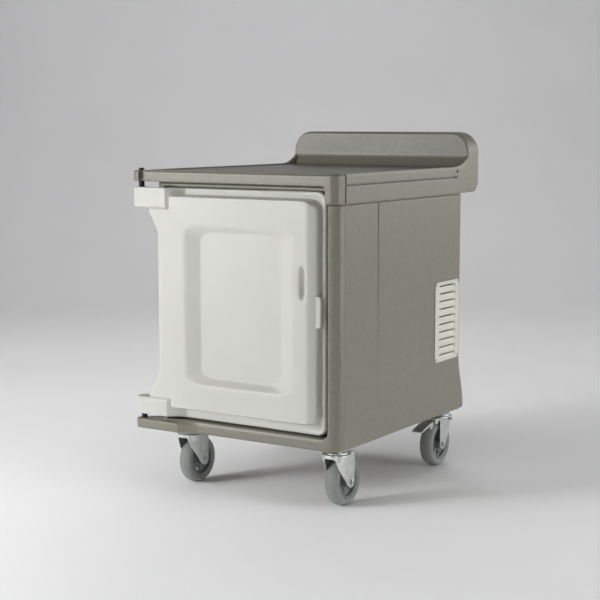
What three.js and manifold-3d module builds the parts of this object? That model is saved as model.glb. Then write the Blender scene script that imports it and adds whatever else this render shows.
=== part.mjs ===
// Insulated food carrier: a polyethylene meal-delivery cart on four swivel casters.
// Millimetres. +Z up, the door faces -Y, +X is the latch side. The origin is on the floor,
// below the centre of the whole object.
import * as THREE from "three";
import { mergeVertices } from "three/addons/utils/BufferGeometryUtils.js";
import Module from "manifold-3d";

const wasm = await Module();
wasm.setup();

// ---------------------------------------------------------------- driving dimensions
const WIDTH = 764;
const DEPTH = 932;
const HEIGHT = 1134;
const FRONT = -DEPTH / 2;
const REAR = DEPTH / 2;
const RIGHT = WIDTH / 2;
const GAP = 0.3;
const FAR = 1200; // clip boxes reach this far, past every face

const body = {
  left: -305, right: 374, front: -445, rear: 366, flareRear: 402,
  bottom: 190.5, top: 981.7, flareTop: 368, flareBottom: 217,
  frontRadius: 38, rearRadius: 25, skin: 5,
};
body.middle = (body.left + body.right) / 2;

const opening = {
  left: -265, right: 334, bottom: 229, top: 967, radius: 22, hingeRadius: 5, jamb: -392,
};
const cavity = { left: -228, right: 297, bottom: 262, top: 937, rear: 321, skin: 3, radius: 18 };
const pin = {
  x: -357.5, y: -441.5, radius: 6, hole: 6.3, knuckle: 24.5, bush: 8.5, head: 9.5, segments: 18,
  upperLow: 905, upperSeat: 1014.3, upperTop: 1024, lowerSeat: 190.2, lowerFoot: 187, lowerTop: 291,
};
// The fixed hinge ears at the front left corner: where their slanting shoulder starts and ends.
const fixedEar = { slantFrom: -209, slantTo: -153, step: 30, tuck: 12, depth: 70, baseTop: 222 };
const flute = { y: -212, bottom: 358, top: 929, depth: 4.5, half: 6 };
const breather = { y: 250, z: 510, outer: 16, inner: 13, panDepth: 17, segments: 20 };

const cap = {
  left: -313, right: RIGHT, bandBottom: 982, top: 1014, rimTop: 1019.5, skirtBottom: 930,
  blockLeft: 335, blockRear: -420, cornerRadius: 30, rimWidth: 16,
  coveFront: 321, coveTop: 1046, splashFront: 386, splashRadius: 72, tailRadius: 36,
  hingeCornerRadius: 12, rearCornerRadius: 20, rimDrop: 6,
};
const grip = { left: -248, right: 317, front: 392, rear: 438, radius: 14, top: 1004 };
const capCore = { left: -289, right: 358, front: -425, rear: 305, cover: 8 };
// The slot down the front of the cap's hinge lug, clear of the pin.
const slot = { left: -349.5, right: -324.5, back: -452 };
const seam = { front: -419, rear: 303, low: 983, high: 985, depth: 1.5 };
const port = { y: 306, z: 1003, radius: 4, depth: 8 };

const door = {
  front: FRONT, flange: -429, back: -404, linerBack: -400,
  left: -261, right: 320, bottom: 235, top: 964, radius: 28, skin: 4.5, bend: 16,
  // The raised front at its face, at the foot of its bevel and on the flange.
  plateau: {
    bottom: 272, top: 938,
    face: { right: 276, end: 0, radius: 8 },
    bend: { right: 300, end: 1.7, radius: 28 },
    foot: { right: 304, end: 4, radius: 34 },
  },
  // The left edge of the raised front: against the ears, at the ears' roots, and between them.
  wing: {
    root: -233, shoulder: -311, foot: -319, waist: -277, upper: [826, 888, 899], lower: [383, 308, 297],
  },
  ear: { right: -249, slantRight: -197, back: -448, wrap: -330, upper: [901, 964], lower: [237.5, 295] },
  recess: { left: -175, right: 224, bottom: 353, top: 852, depth: 18, side: 50, end: 20 },
  scoop: {
    left: 183, right: 269, deepLeft: 245, bottom: 624, top: 757, depth: 5, deep: 18, lift: 4, tall: 50,
  },
  tab: { left: 262, right: 311.5, front: -449, bottom: 563, top: 657, radius: 9 },
  core: { left: -251, right: 310, bottom: 245, top: 954, radius: 14 },
  boss: { left: -255, right: 269, bottom: 304, top: 893, radius: 12 },
  seal: { left: -255, right: 315, bottom: 243, top: 957, radius: 20, wide: 10 },
  catch: { x: 304, halfX: 7, halfZ: 38, sunk: 2.2, stand: 3 },
};

const caster = {
  spread: 276.5, frontY: -350, rearY: 335, trail: 35, wheelRadius: 76.2, wheelHalf: 23,
  plateX: 100, plateY: 114, plateBottom: 186.3, raceBottom: 178, crownTop: 168, crownBottom: 164,
  crownRadius: 44, legInner: 28, legOuter: 32, axleRadius: 5, hubRadius: 54,
};

const vent = {
  front: 166, rear: 339, bottom: 376, top: 643, louvres: 10, pitch: 25.5, proud: 3, half: 58,
  lapY: 14, lapZ: 16, radius: 12, screwY: 77, screwZ: 124, screwHole: 2.6, lift: -3,
};

const colour = {
  granite: 0x8d897d, white: 0xe2e2d8, foam: 0xe8dcae, liner: 0x9b988d, black: 0x1b1b1b,
  zinc: 0xbcc3c2, tyre: 0x8a8d8e, hub: 0x77797a, steel: 0xb4b6b4, gasket: 0x2c2c2c, vent: 0xd9d8cb,
};

// ---------------------------------------------------------------- shape helpers
// A closed outline with each corner [a, b, radius] rounded by an arc of the given number of steps.
function outline(corners, steps = 4) {
  const points = [];
  corners.forEach(([a, b, radius = 0], i) => {
    const before = corners[(i + corners.length - 1) % corners.length];
    const after = corners[(i + 1) % corners.length];
    const corner = new THREE.Vector2(a, b);
    const back = new THREE.Vector2(before[0], before[1]).sub(corner).normalize();
    const on = new THREE.Vector2(after[0], after[1]).sub(corner).normalize();
    if (radius === 0) {
      points.push([a, b]);
      return;
    }
    const half = Math.acos(THREE.MathUtils.clamp(back.dot(on), -1, 1)) / 2;
    const centre = back.clone().add(on).normalize().multiplyScalar(radius / Math.sin(half)).add(corner);
    const first = back.clone().multiplyScalar(radius / Math.tan(half)).add(corner).sub(centre);
    const last = on.clone().multiplyScalar(radius / Math.tan(half)).add(corner).sub(centre);
    let turn = last.angle() - first.angle();
    if (turn > Math.PI) turn -= 2 * Math.PI;
    if (turn < -Math.PI) turn += 2 * Math.PI;
    for (let k = 0; k <= steps; k += 1) {
      const angle = first.angle() + (turn * k) / steps;
      points.push([centre.x + radius * Math.cos(angle), centre.y + radius * Math.sin(angle)]);
    }
  });
  return points;
}

function rectangle(a0, b0, a1, b1, radius = 0, steps = 4) {
  const radii = Array.isArray(radius) ? radius : [radius, radius, radius, radius];
  return outline([[a0, b0, radii[0]], [a1, b0, radii[1]], [a1, b1, radii[2]], [a0, b1, radii[3]]], steps);
}

function circle(a, b, radius, steps = 24) {
  const points = [];
  for (let k = 0; k < steps; k += 1) {
    const angle = (2 * Math.PI * k) / steps;
    points.push([a + radius * Math.cos(angle), b + radius * Math.sin(angle)]);
  }
  return points;
}

const place = {
  x: (a, b, at) => [at, a, b],
  y: (a, b, at) => [a, at, b],
  z: (a, b, at) => [a, b, at],
};

// A closed geometry as a manifold solid, turned outward if its faces point in.
function solid(geometry) {
  const bare = new THREE.BufferGeometry();
  bare.setAttribute("position", geometry.attributes.position);
  bare.setIndex(geometry.index);
  const merged = mergeVertices(bare, 1e-4);
  const vertices = merged.attributes.position.array;
  const triangles = Uint32Array.from(merged.index.array);
  let volume = 0;
  const corner = [new THREE.Vector3(), new THREE.Vector3(), new THREE.Vector3()];
  for (let t = 0; t < triangles.length; t += 3) {
    corner.forEach((v, k) => v.fromArray(vertices, 3 * triangles[t + k]));
    volume += corner[0].dot(corner[1].clone().cross(corner[2]));
  }
  if (volume < 0) {
    for (let t = 0; t < triangles.length; t += 3) {
      [triangles[t], triangles[t + 1]] = [triangles[t + 1], triangles[t]];
    }
  }
  return new wasm.Manifold(new wasm.Mesh({ numProp: 3, vertProperties: vertices, triVerts: triangles }));
}

// A solid through rings of matching points, each { at, points }, stacked along an axis.
function loft(axis, rings) {
  const count = rings[0].points.length;
  const position = rings.flatMap(({ at, points }) => points.flatMap(([a, b]) => place[axis](a, b, at)));
  const index = [];
  for (let r = 0; r + 1 < rings.length; r += 1) {
    for (let k = 0; k < count; k += 1) {
      const here = r * count + k;
      const next = r * count + ((k + 1) % count);
      index.push(here, next, next + count, here, next + count, here + count);
    }
  }
  const flat = (ring) => ring.points.map(([a, b]) => new THREE.Vector2(a, b));
  const last = (rings.length - 1) * count;
  const clockwise = THREE.ShapeUtils.isClockWise(flat(rings[0]));
  THREE.ShapeUtils.triangulateShape(flat(rings[0]), []).forEach(([a, b, c]) => {
    index.push(...(clockwise ? [a, b, c] : [a, c, b]));
  });
  THREE.ShapeUtils.triangulateShape(flat(rings.at(-1)), []).forEach(([a, b, c]) => {
    index.push(...(clockwise ? [last + a, last + c, last + b] : [last + a, last + b, last + c]));
  });
  const geometry = new THREE.BufferGeometry();
  geometry.setAttribute("position", new THREE.Float32BufferAttribute(position, 3));
  geometry.setIndex(index);
  return solid(geometry);
}

const prism = (axis, points, from, to) => loft(axis, [{ at: from, points }, { at: to, points }]);

function box(x0, y0, z0, x1, y1, z1) {
  const geometry = new THREE.BoxGeometry(x1 - x0, y1 - y0, z1 - z0);
  geometry.translate((x0 + x1) / 2, (y0 + y1) / 2, (z0 + z1) / 2);
  return solid(geometry);
}

const union = (...parts) => parts.reduce((sum, part) => sum.add(part));
const cut = (whole, ...tools) => tools.reduce((rest, tool) => rest.subtract(tool), whole);

// A solid of revolution about the x or z axis through a centre; profile points are [radius, along].
function revolve(axis, profile, centre, segments = 32) {
  const geometry = new THREE.LatheGeometry(profile.map(([r, h]) => new THREE.Vector2(r, h)), segments);
  if (axis === "x") geometry.rotateZ(-Math.PI / 2);
  if (axis === "z") geometry.rotateX(Math.PI / 2);
  geometry.translate(...centre);
  return solid(geometry);
}

const group = new THREE.Group();

function node(name, shape, tint, roughness = 0.7, metalness = 0) {
  const { vertProperties, triVerts, numProp } = shape.getMesh();
  const position = new Float32Array((vertProperties.length / numProp) * 3);
  for (let v = 0; v < position.length / 3; v += 1) {
    position.set(vertProperties.subarray(v * numProp, v * numProp + 3), 3 * v);
  }
  const geometry = new THREE.BufferGeometry();
  geometry.setAttribute("position", new THREE.BufferAttribute(position, 3));
  geometry.setIndex(new THREE.BufferAttribute(Uint32Array.from(triVerts), 1));
  geometry.computeVertexNormals();
  const material = new THREE.MeshStandardMaterial({ color: tint, roughness, metalness });
  const mesh = new THREE.Mesh(geometry, material);
  mesh.name = name;
  group.add(mesh);
}

// ---------------------------------------------------------------- cabinet
// Plan of the cabinet at one height, shrunk by an inset, with the rear wall where it is told.
function bodyPlan(inset, rear) {
  const front = Math.max(body.frontRadius - inset, 1);
  const back = Math.max(body.rearRadius - inset, 1);
  return rectangle(body.left + inset, body.front + inset, body.right - inset, rear - inset,
    [front, front, back, back]);
}

function bodyBlock(inset) {
  return loft("z", [
    { at: body.bottom + inset, points: bodyPlan(inset, body.flareRear) },
    { at: body.flareBottom, points: bodyPlan(inset, body.flareRear) },
    { at: body.flareTop, points: bodyPlan(inset, body.rear) },
    { at: body.top - inset, points: bodyPlan(inset, body.rear) },
  ]);
}

function openingPlan(grow) {
  const hinge = opening.hingeRadius + grow;
  const latch = opening.radius + grow;
  return rectangle(opening.left - grow, opening.bottom - grow, opening.right + grow, opening.top + grow,
    [hinge, latch, latch, hinge]);
}
const jambSleeve = (grow) => prism("y", openingPlan(body.skin + grow), body.front + 1, opening.jamb + grow);

// The hinge ear that stands out of the front left corner, seen from above.
function earPlan(wallX) {
  const { slantFrom, slantTo, step, tuck, depth } = fixedEar;
  const root = body.front + depth;
  return [...knuckle(0.5, 1.5, 10), [slantFrom, FRONT], [slantTo, body.front], [slantTo, body.front + step],
    [wallX + tuck, root], [wallX, root]];
}

// Points round the hinge axis, from one share of pi to another.
function knuckle(from, to, steps) {
  return Array.from({ length: steps + 1 }, (_, k) => {
    const angle = (from + ((to - from) * k) / steps) * Math.PI;
    return [pin.x + pin.knuckle * Math.cos(angle), pin.y + pin.knuckle * Math.sin(angle)];
  });
}

const pinHole = (from, to, radius = pin.hole) => prism("z", circle(pin.x, pin.y, radius), from, to);

const ventBox = (depth, inset) => box(
  body.right - depth, vent.front + vent.lapY + inset, vent.bottom + vent.lapZ + inset,
  body.right + 1, vent.rear - vent.lapY - inset, vent.top - vent.lapZ - inset,
);
const breatherBore = (radius, from, to) => prism("x",
  circle(breather.y, breather.z, radius, breather.segments), from, to);
const breatherHole = () => breatherBore(breather.outer + GAP, cavity.right - 10, body.right);

// A tapered flute down the outside of the right wall: deep at the top, gone at the bottom.
function sideFlute() {
  const outside = body.right + 2;
  const section = (depth, half) => [[body.right - depth, flute.y], [outside, flute.y - half],
    [outside, flute.y + half]];
  return loft("z", [
    { at: flute.bottom, points: section(-1, 1) },
    { at: flute.top, points: section(flute.depth, flute.half) },
  ]);
}

const cabinetOuter = union(
  bodyBlock(0),
  prism("z", earPlan(body.left + 1), body.bottom, fixedEar.baseTop),
);
const wallPan = union(
  prism("y", openingPlan(body.skin), body.front + 1, opening.jamb),
  ventBox(breather.panDepth, -body.skin).intersect(bodyBlock(1)),
);
const cabinetHollow = cut(bodyBlock(body.skin), wallPan);
const cabinetShell = cut(
  cabinetOuter,
  cabinetHollow,
  prism("y", openingPlan(0), body.front - 5, opening.jamb + 1),
  ventBox(breather.panDepth - body.skin, 0),
  box(body.right - vent.proud, vent.front - GAP, vent.bottom - GAP,
    body.right + 1, vent.rear + GAP, vent.top + GAP).intersect(ventBox(10, -2)),
  breatherHole(),
  sideFlute(),
  pinHole(body.bottom - 1, fixedEar.baseTop + 1),
);
node("cabinet_shell", cabinetShell, colour.granite, 0.75);

// The tub that lines the food space, with a flange that lies behind the door opening.
const cavityPlan = (grow) => rectangle(cavity.left - grow, cavity.bottom - grow,
  cavity.right + grow, cavity.top + grow, cavity.radius + grow);
const tub = (grow) => prism("y", cavityPlan(grow), opening.jamb, cavity.rear + grow);
const linerFlange = prism("y", openingPlan(-GAP), opening.jamb + GAP, opening.jamb + cavity.skin + GAP);
const cavityLiner = cut(
  union(tub(cavity.skin).intersect(box(-FAR, opening.jamb + GAP, 0, FAR, FAR, FAR)), linerFlange),
  prism("y", cavityPlan(0), opening.jamb - 5, cavity.rear),
  breatherHole(),
);
node("cavity_liner", cavityLiner, colour.liner, 0.6);

const insulation = cut(
  bodyBlock(body.skin + GAP),
  jambSleeve(GAP),
  box(-FAR, -FAR, 0, FAR, opening.jamb + cavity.skin + 2 * GAP, FAR),
  tub(cavity.skin + GAP),
  ventBox(breather.panDepth + body.skin, -body.skin - GAP),
  breatherHole(),
);
node("insulation_core", insulation, colour.foam, 0.95);

const breatherTube = cut(
  breatherBore(breather.outer, cavity.right + GAP, body.right - breather.panDepth + body.skin),
  breatherBore(breather.inner, cavity.right - 10, body.right),
);
node("breather_tube", breatherTube, colour.black, 0.6);

// ---------------------------------------------------------------- louvre plate
const ventPlan = (inset, radius) => rectangle(vent.front + inset, vent.bottom + inset,
  vent.rear - inset, vent.top - inset, radius);
const ventMiddle = { y: (vent.front + vent.rear) / 2, z: (vent.bottom + vent.top) / 2 };
const louvreZ = (k) => ventMiddle.z + vent.lift + (k - (vent.louvres - 1) / 2) * vent.pitch;
// A slot that slants up into the wall, so that rain and fingers stay out.
const slotPlan = (z) => rectangle(ventMiddle.y - vent.half, z, ventMiddle.y + vent.half, z + 5);
const louvreSlot = (z) => loft("x", [
  { at: body.right - 6, points: slotPlan(z + 1) },
  { at: body.right + 9, points: slotPlan(z - 8) },
]);
const louvreSlots = Array.from({ length: vent.louvres }, (_, k) => louvreSlot(louvreZ(k)));
const ventScrews = [[1, 1], [1, -1], [-1, 1], [-1, -1]].map(([a, b]) => ({
  y: ventMiddle.y + a * vent.screwY, z: ventMiddle.z + b * vent.screwZ,
}));
const screwHole = ({ y, z }) => prism("x", circle(y, z, vent.screwHole, 12),
  body.right - 6, body.right + 9);
const ventPlate = cut(
  loft("x", [
    { at: body.right + GAP, points: ventPlan(0, vent.radius) },
    { at: body.right + vent.proud - 1, points: ventPlan(0, vent.radius) },
    { at: body.right + vent.proud, points: ventPlan(1, vent.radius - 1) },
  ]),
  ...louvreSlots,
  ...ventScrews.map(screwHole),
);
node("vent_plate", ventPlate, colour.vent, 0.5);

ventScrews.forEach(({ y, z }, k) => {
  const screw = revolve("x", [[0, 0.5], [2.2, 0.5], [2.2, 3.4], [4.2, 3.4], [3, 5.2], [0, 5.6]],
    [body.right, y, z], 12);
  node(`vent_screw_${k + 1}`, screw, colour.steel, 0.3, 1);
});

// ---------------------------------------------------------------- worktop cap and rear handle
const deckPlan = (inset) => rectangle(cap.left + inset, FRONT + inset, cap.right - inset, REAR - inset,
  [cap.hingeCornerRadius, cap.cornerRadius - inset, cap.rearCornerRadius, cap.rearCornerRadius]);
const lugPlan = earPlan(cap.left + 2).map(([x, y]) => [x, Math.max(y, FRONT)]);
const splashProfile = outline([
  [cap.coveFront, cap.bandBottom], [cap.coveFront, cap.top], [cap.coveFront + 34, cap.top + 4, 30],
  [cap.splashFront, cap.coveTop, 22], [cap.splashFront, HEIGHT, 5], [REAR, HEIGHT, 9],
  [REAR, cap.skirtBottom, cap.tailRadius], [body.rear + GAP, cap.skirtBottom],
  [body.rear + GAP, cap.bandBottom],
], 5);
const splashFace = rectangle(cap.left, cap.skirtBottom - 30, cap.right, HEIGHT,
  [0, 0, cap.splashRadius, cap.splashRadius], 10);
const backsplash = prism("x", splashProfile, cap.left, cap.right)
  .intersect(prism("y", splashFace, 300, REAR + 1));

const deck = prism("z", deckPlan(0), cap.bandBottom, cap.top);
const rim = cut(
  loft("z", [
    { at: cap.top - 1, points: deckPlan(0.5) },
    { at: cap.rimTop, points: deckPlan(cap.rimDrop) },
  ]),
  loft("z", [
    { at: cap.top, points: deckPlan(cap.rimWidth + cap.rimDrop) },
    { at: cap.rimTop + 1, points: deckPlan(cap.rimDrop + 5) },
  ]),
  box(-FAR, cap.coveFront + 20, 0, FAR, FAR, FAR),
);
const skirt = cut(
  prism("z", deckPlan(0), cap.skirtBottom, cap.bandBottom + 1),
  prism("z", bodyPlan(-GAP, body.rear), cap.skirtBottom - 1, cap.bandBottom),
  box(-FAR, -FAR, 0, cap.blockLeft, body.front + 45, cap.bandBottom),
  box(-FAR, body.rear + 10, 0, FAR, FAR, cap.bandBottom),
);
const handleGrip = prism("z", rectangle(grip.left, grip.front, grip.right, grip.rear, grip.radius),
  cap.skirtBottom - 1, grip.top);
const capCoreBox = (grow) => box(capCore.left - grow, capCore.front - grow, cap.bandBottom - 1,
  capCore.right + grow, capCore.rear + grow, cap.top - capCore.cover + grow);
const sideSeams = [
  box(cap.right - seam.depth, seam.front, seam.low, cap.right + 1, seam.rear, seam.high),
  box(cap.right - seam.depth, cap.blockRear - 1, cap.skirtBottom - 1,
    cap.right + 1, cap.blockRear + 1, cap.top - 1),
];
const lugSlot = box(slot.left, FRONT - 1, cap.bandBottom - 1, slot.right, slot.back, cap.top + 1);
const vacuumPort = prism("x", circle(port.y, port.z, port.radius, 12),
  cap.right - port.depth, cap.right + 1);
const worktopCap = cut(
  union(deck, rim, skirt, backsplash, prism("z", lugPlan, cap.bandBottom, cap.top)),
  handleGrip,
  capCoreBox(GAP),
  ...sideSeams,
  lugSlot,
  vacuumPort,
  pinHole(cap.bandBottom - 1, cap.top + 8),
);
node("worktop_cap", worktopCap, colour.granite, 0.75);
node("worktop_core", capCoreBox(0).intersect(box(-FAR, -FAR, cap.bandBottom + GAP, FAR, FAR, FAR)),
  colour.foam, 0.95);

// ---------------------------------------------------------------- hinge pins and bushes
const turned = (profile) => revolve("z", profile, [pin.x, pin.y, 0], pin.segments);
const upperPin = turned([[0, pin.upperLow], [pin.radius, pin.upperLow], [pin.radius, pin.upperSeat],
  [pin.head, pin.upperSeat], [pin.head, pin.upperTop - 3], [pin.head - 3, pin.upperTop],
  [0, pin.upperTop]]);
const lowerPin = turned([[0, pin.lowerFoot], [pin.head, pin.lowerFoot], [pin.head, pin.lowerSeat],
  [pin.radius, pin.lowerSeat], [pin.radius, pin.lowerTop - 2], [pin.radius - 1.5, pin.lowerTop],
  [0, pin.lowerTop]]);
const bush = (from, to) => turned([[pin.hole, from], [pin.bush, from], [pin.bush, to], [pin.hole, to],
  [pin.hole, from]]);
node("upper_hinge_pin", upperPin, colour.black, 0.4);
node("lower_hinge_pin", lowerPin, colour.black, 0.4);
node("upper_hinge_bush", bush(door.ear.upper[1] + GAP, cap.bandBottom - GAP), colour.black, 0.5);
node("lower_hinge_bush", bush(fixedEar.baseTop + GAP, door.ear.lower[0] - GAP), colour.black, 0.5);

// ---------------------------------------------------------------- tray racks
const rack = {
  thick: 6, ledge: 18, ledgeThick: 6, front: -372, rear: 312, levels: 6, first: 316, pitch: 105, radius: 14,
};
function trayRack(side) {
  const wall = side < 0 ? cavity.left + GAP : cavity.right - GAP;
  const inward = -side;
  const span = (near, far) => [Math.min(wall + inward * near, wall + inward * far),
    Math.max(wall + inward * near, wall + inward * far)];
  const [px0, px1] = span(0, rack.thick);
  const [lx0, lx1] = span(rack.thick - 1, rack.thick + rack.ledge);
  const panel = prism("x", rectangle(rack.front, cavity.bottom + cavity.radius, rack.rear,
    cavity.top - cavity.radius, rack.radius), px0, px1);
  const ledges = Array.from({ length: rack.levels }, (_, k) => {
    const z = rack.first + k * rack.pitch;
    return box(lx0, rack.front + 6, z - rack.ledgeThick, lx1, rack.rear - 6, z);
  });
  return cut(union(panel, ...ledges), breatherBore(breather.outer, px0 - 1, px1 + 1));
}
node("tray_rack_left", trayRack(-1), colour.liner, 0.6);
node("tray_rack_right", trayRack(1), colour.liner, 0.6);

// ---------------------------------------------------------------- door
const { plateau, wing, ear, recess, scoop, tab, core, boss, seal } = door;
// The door's raised front, left edge stepping round the two hinge ears.
function plateauPlan({ right, end, radius }) {
  return outline([
    [wing.root, plateau.bottom - end, 4], [right, plateau.bottom - end, radius],
    [right, plateau.top + end, radius], [wing.root, plateau.top + end, 8],
    [wing.root, wing.upper[2], 3], [wing.shoulder, wing.upper[2], 3], [wing.shoulder, wing.upper[1], 6],
    [wing.waist, wing.upper[0], 14], [wing.waist, wing.lower[0], 14], [wing.foot, wing.lower[1], 6],
    [wing.foot, wing.lower[2], 3], [wing.root, wing.lower[2], 3],
  ]);
}
const bendY = door.front + door.bend;
const doorPlateau = loft("y", [
  { at: door.front, points: plateauPlan(plateau.face) },
  { at: bendY, points: plateauPlan(plateau.bend) },
]).add(loft("y", [
  { at: bendY - 1, points: plateauPlan(plateau.bend) },
  { at: door.flange + 1, points: plateauPlan(plateau.foot) },
]).intersect(box(door.left, -FAR, 0, FAR, 0, FAR)));

const flangePlan = (inset) => rectangle(door.left + inset, door.bottom + inset, door.right - inset,
  door.top - inset, [6, door.radius - inset, door.radius - inset, 6]);
const doorFlange = loft("y", [
  { at: door.flange, points: flangePlan(3) },
  { at: door.flange + 4, points: flangePlan(0) },
  { at: door.back, points: flangePlan(0) },
]);

function earBlock([from, to]) {
  const inner = door.back - 2;
  const plan = [...knuckle(0.38, 1.5, 14), [ear.right, FRONT], [ear.slantRight, door.flange],
    [ear.slantRight, inner], [door.left, inner], [door.left, ear.back], [ear.wrap, ear.back]];
  return prism("z", plan, from, to);
}

function recessTool(grow) {
  const ring = (depthShare) => rectangle(
    recess.left - grow + recess.side * depthShare, recess.bottom - grow + recess.end * depthShare,
    recess.right + grow - recess.side * depthShare, recess.top + grow - recess.end * depthShare,
    30 - 12 * depthShare,
  );
  return loft("y", [
    { at: FRONT - 1, points: ring(0) },
    { at: FRONT, points: ring(0) },
    { at: FRONT + recess.depth + grow, points: ring(1) },
  ]);
}

// The finger scoop: a shallow D that runs down into a deep elliptical grip.
function scoopTool(grow) {
  const middle = (scoop.bottom + scoop.top) / 2;
  const half = (scoop.top - scoop.bottom) / 2;
  const shape = (left, right, tall) => outline([
    [left - grow, middle - tall - grow, 26], [right + grow, middle - tall - grow, 12],
    [right + grow, middle + tall + grow, 12], [left - grow, middle + tall + grow, 26],
  ], 5);
  const grip = (scale) => circle(0, 0, 1, 20).map(([a, b]) => [
    (scoop.deepLeft + scoop.right) / 2 + (a * scale * (scoop.right - scoop.deepLeft)) / 2 + a * grow,
    middle + scoop.lift + b * (scoop.tall * scale + grow),
  ]);
  const dish = loft("y", [
    { at: FRONT - 1, points: shape(scoop.left, scoop.right, half) },
    { at: FRONT + scoop.depth + grow, points: shape(scoop.left + 46, scoop.right, half - 6) },
  ]);
  const pocket = loft("y", [
    { at: FRONT - 1, points: grip(1) },
    { at: FRONT + scoop.deep - 8, points: grip(0.94) },
    { at: FRONT + scoop.deep + grow, points: grip(0.6) },
  ]);
  return union(dish, pocket);
}

const tabPlan = (inset) => rectangle(tab.left, tab.bottom + 0.7 * inset, tab.right - inset,
  tab.top - 0.7 * inset, tab.radius - inset / 3);
const doorTab = loft("y", [
  { at: tab.front, points: tabPlan(3) },
  { at: tab.front + 4, points: tabPlan(0) },
  { at: door.flange + 5, points: tabPlan(0) },
]);

const corePlan = ({ left, right, bottom, top, radius }, grow) => rectangle(left - grow, bottom - grow,
  right + grow, top + grow, radius);
const coreSpace = (grow) => cut(
  union(
    prism("y", corePlan(core, grow), door.flange + door.skin - grow, door.back - GAP + grow),
    prism("y", corePlan(boss, grow), FRONT + door.skin - grow, door.flange + door.skin + 1)
      .intersect(box(core.left - grow, -FAR, 0, FAR, 0, FAR)),
  ),
  recessTool(door.skin - grow),
  scoopTool(door.skin - grow),
);
const doorShell = cut(
  union(doorFlange, doorPlateau, doorTab, earBlock(ear.upper), earBlock(ear.lower)),
  recessTool(0),
  scoopTool(0),
  coreSpace(GAP),
  prism("y", corePlan(core, GAP), door.back - 1, door.back + 1),
  pinHole(ear.upper[0] + 2, ear.upper[1] + 1),
  pinHole(ear.lower[0] - 1, ear.lower[1] - 2),
);
node("door_shell", doorShell, colour.white, 0.55);
node("door_core", coreSpace(0), colour.foam, 0.95);

const catchZ = (tab.bottom + tab.top) / 2;
function catchBlock(grow, from, to) {
  const { x, halfX, halfZ } = door.catch;
  return box(x - halfX - grow, from, catchZ - halfZ - grow, x + halfX + grow, to, catchZ + halfZ + grow);
}
const magnetFoot = door.linerBack - door.catch.sunk;
node("door_liner", cut(prism("y", flangePlan(1), door.back + GAP, door.linerBack),
  catchBlock(GAP, magnetFoot - GAP, door.linerBack + 1)), colour.white, 0.6);
node("door_magnet", catchBlock(0, magnetFoot, opening.jamb - door.catch.stand), colour.black, 0.5);

const sealPlan = (inset) => rectangle(seal.left + inset, seal.bottom + inset, seal.right - inset,
  seal.top - inset, seal.radius - inset * 0.6);
const sealBend = door.linerBack + 5;
const sealTube = (foot, lip, from, to) => loft("y", [
  { at: from, points: sealPlan(foot) },
  { at: sealBend, points: sealPlan(foot) },
  { at: to, points: sealPlan(lip) },
]);
node("door_gasket", cut(
  sealTube(0, 2.5, door.linerBack + GAP, opening.jamb - GAP),
  sealTube(seal.wide, seal.wide - 3, door.linerBack - 1, opening.jamb + 1),
  catchBlock(1, door.linerBack - 3, opening.jamb + 2),
), colour.gasket, 0.8);

node("strike_plate", catchBlock(0, opening.jamb - 2, opening.jamb), colour.steel, 0.35, 1);

// ---------------------------------------------------------------- casters
const corners = [
  { name: "front_left", x: body.middle - caster.spread, y: caster.frontY, way: 1, brake: false },
  { name: "front_right", x: body.middle + caster.spread, y: caster.frontY, way: 1, brake: false },
  { name: "rear_left", x: body.middle - caster.spread, y: caster.rearY, way: -1, brake: true },
  { name: "rear_right", x: body.middle + caster.spread, y: caster.rearY, way: -1, brake: true },
];
const axleZ = caster.wheelRadius;
const pedalPivot = { trail: 70, z: 158, radius: 3 };

function casterPlate({ x, y }) {
  const plate = prism("z", rectangle(x - caster.plateX / 2, y - caster.plateY / 2, x + caster.plateX / 2,
    y + caster.plateY / 2, 8), caster.plateBottom, body.bottom - GAP);
  const race = revolve("z", [[0, caster.raceBottom], [30, caster.raceBottom], [38, caster.plateBottom - 3],
    [38, caster.plateBottom + 1], [0, caster.plateBottom + 1]], [x, y, 0], 16);
  const bolts = [[1, 1], [1, -1], [-1, 1], [-1, -1]].map(([a, b]) => revolve("z",
    [[0, caster.plateBottom - 5.5], [6.5, caster.plateBottom - 5.5], [6.5, caster.plateBottom + 1],
      [0, caster.plateBottom + 1]], [x + a * 40, y + b * 47, 0], 6));
  return cut(union(plate, race, ...bolts), prism("z", circle(x, y, 6.3, 16), 150, 200));
}

function kingpin({ x, y }) {
  return revolve("z", [[0, 157], [9, 157], [9, caster.crownBottom - GAP], [6, caster.crownBottom - GAP],
    [6, 189.5], [0, 189.5]], [x, y, 0], 14);
}

// One side cheek of the fork: swept leading edge, upright trailing edge, round foot on the axle.
function cheek({ x, y, way }, side) {
  const sweep = new THREE.CubicBezierCurve(new THREE.Vector2(17, 66), new THREE.Vector2(-6, 96),
    new THREE.Vector2(-20, 132), new THREE.Vector2(-40, caster.crownBottom + 1)).getPoints(6);
  const foot = [];
  for (let k = 0; k <= 5; k += 1) {
    const angle = (-0.02 - 0.62 * (k / 5)) * Math.PI;
    foot.push([caster.trail + 19 * Math.cos(angle), axleZ + 19 * Math.sin(angle)]);
  }
  const profile = [[54, caster.crownBottom + 1], ...foot, ...sweep.map((p) => [p.x, p.y])]
    .map(([t, z]) => [y + way * t, z]);
  const inner = x + side * caster.legInner;
  const outer = x + side * caster.legOuter;
  return prism("x", profile, Math.min(inner, outer), Math.max(inner, outer));
}

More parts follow.
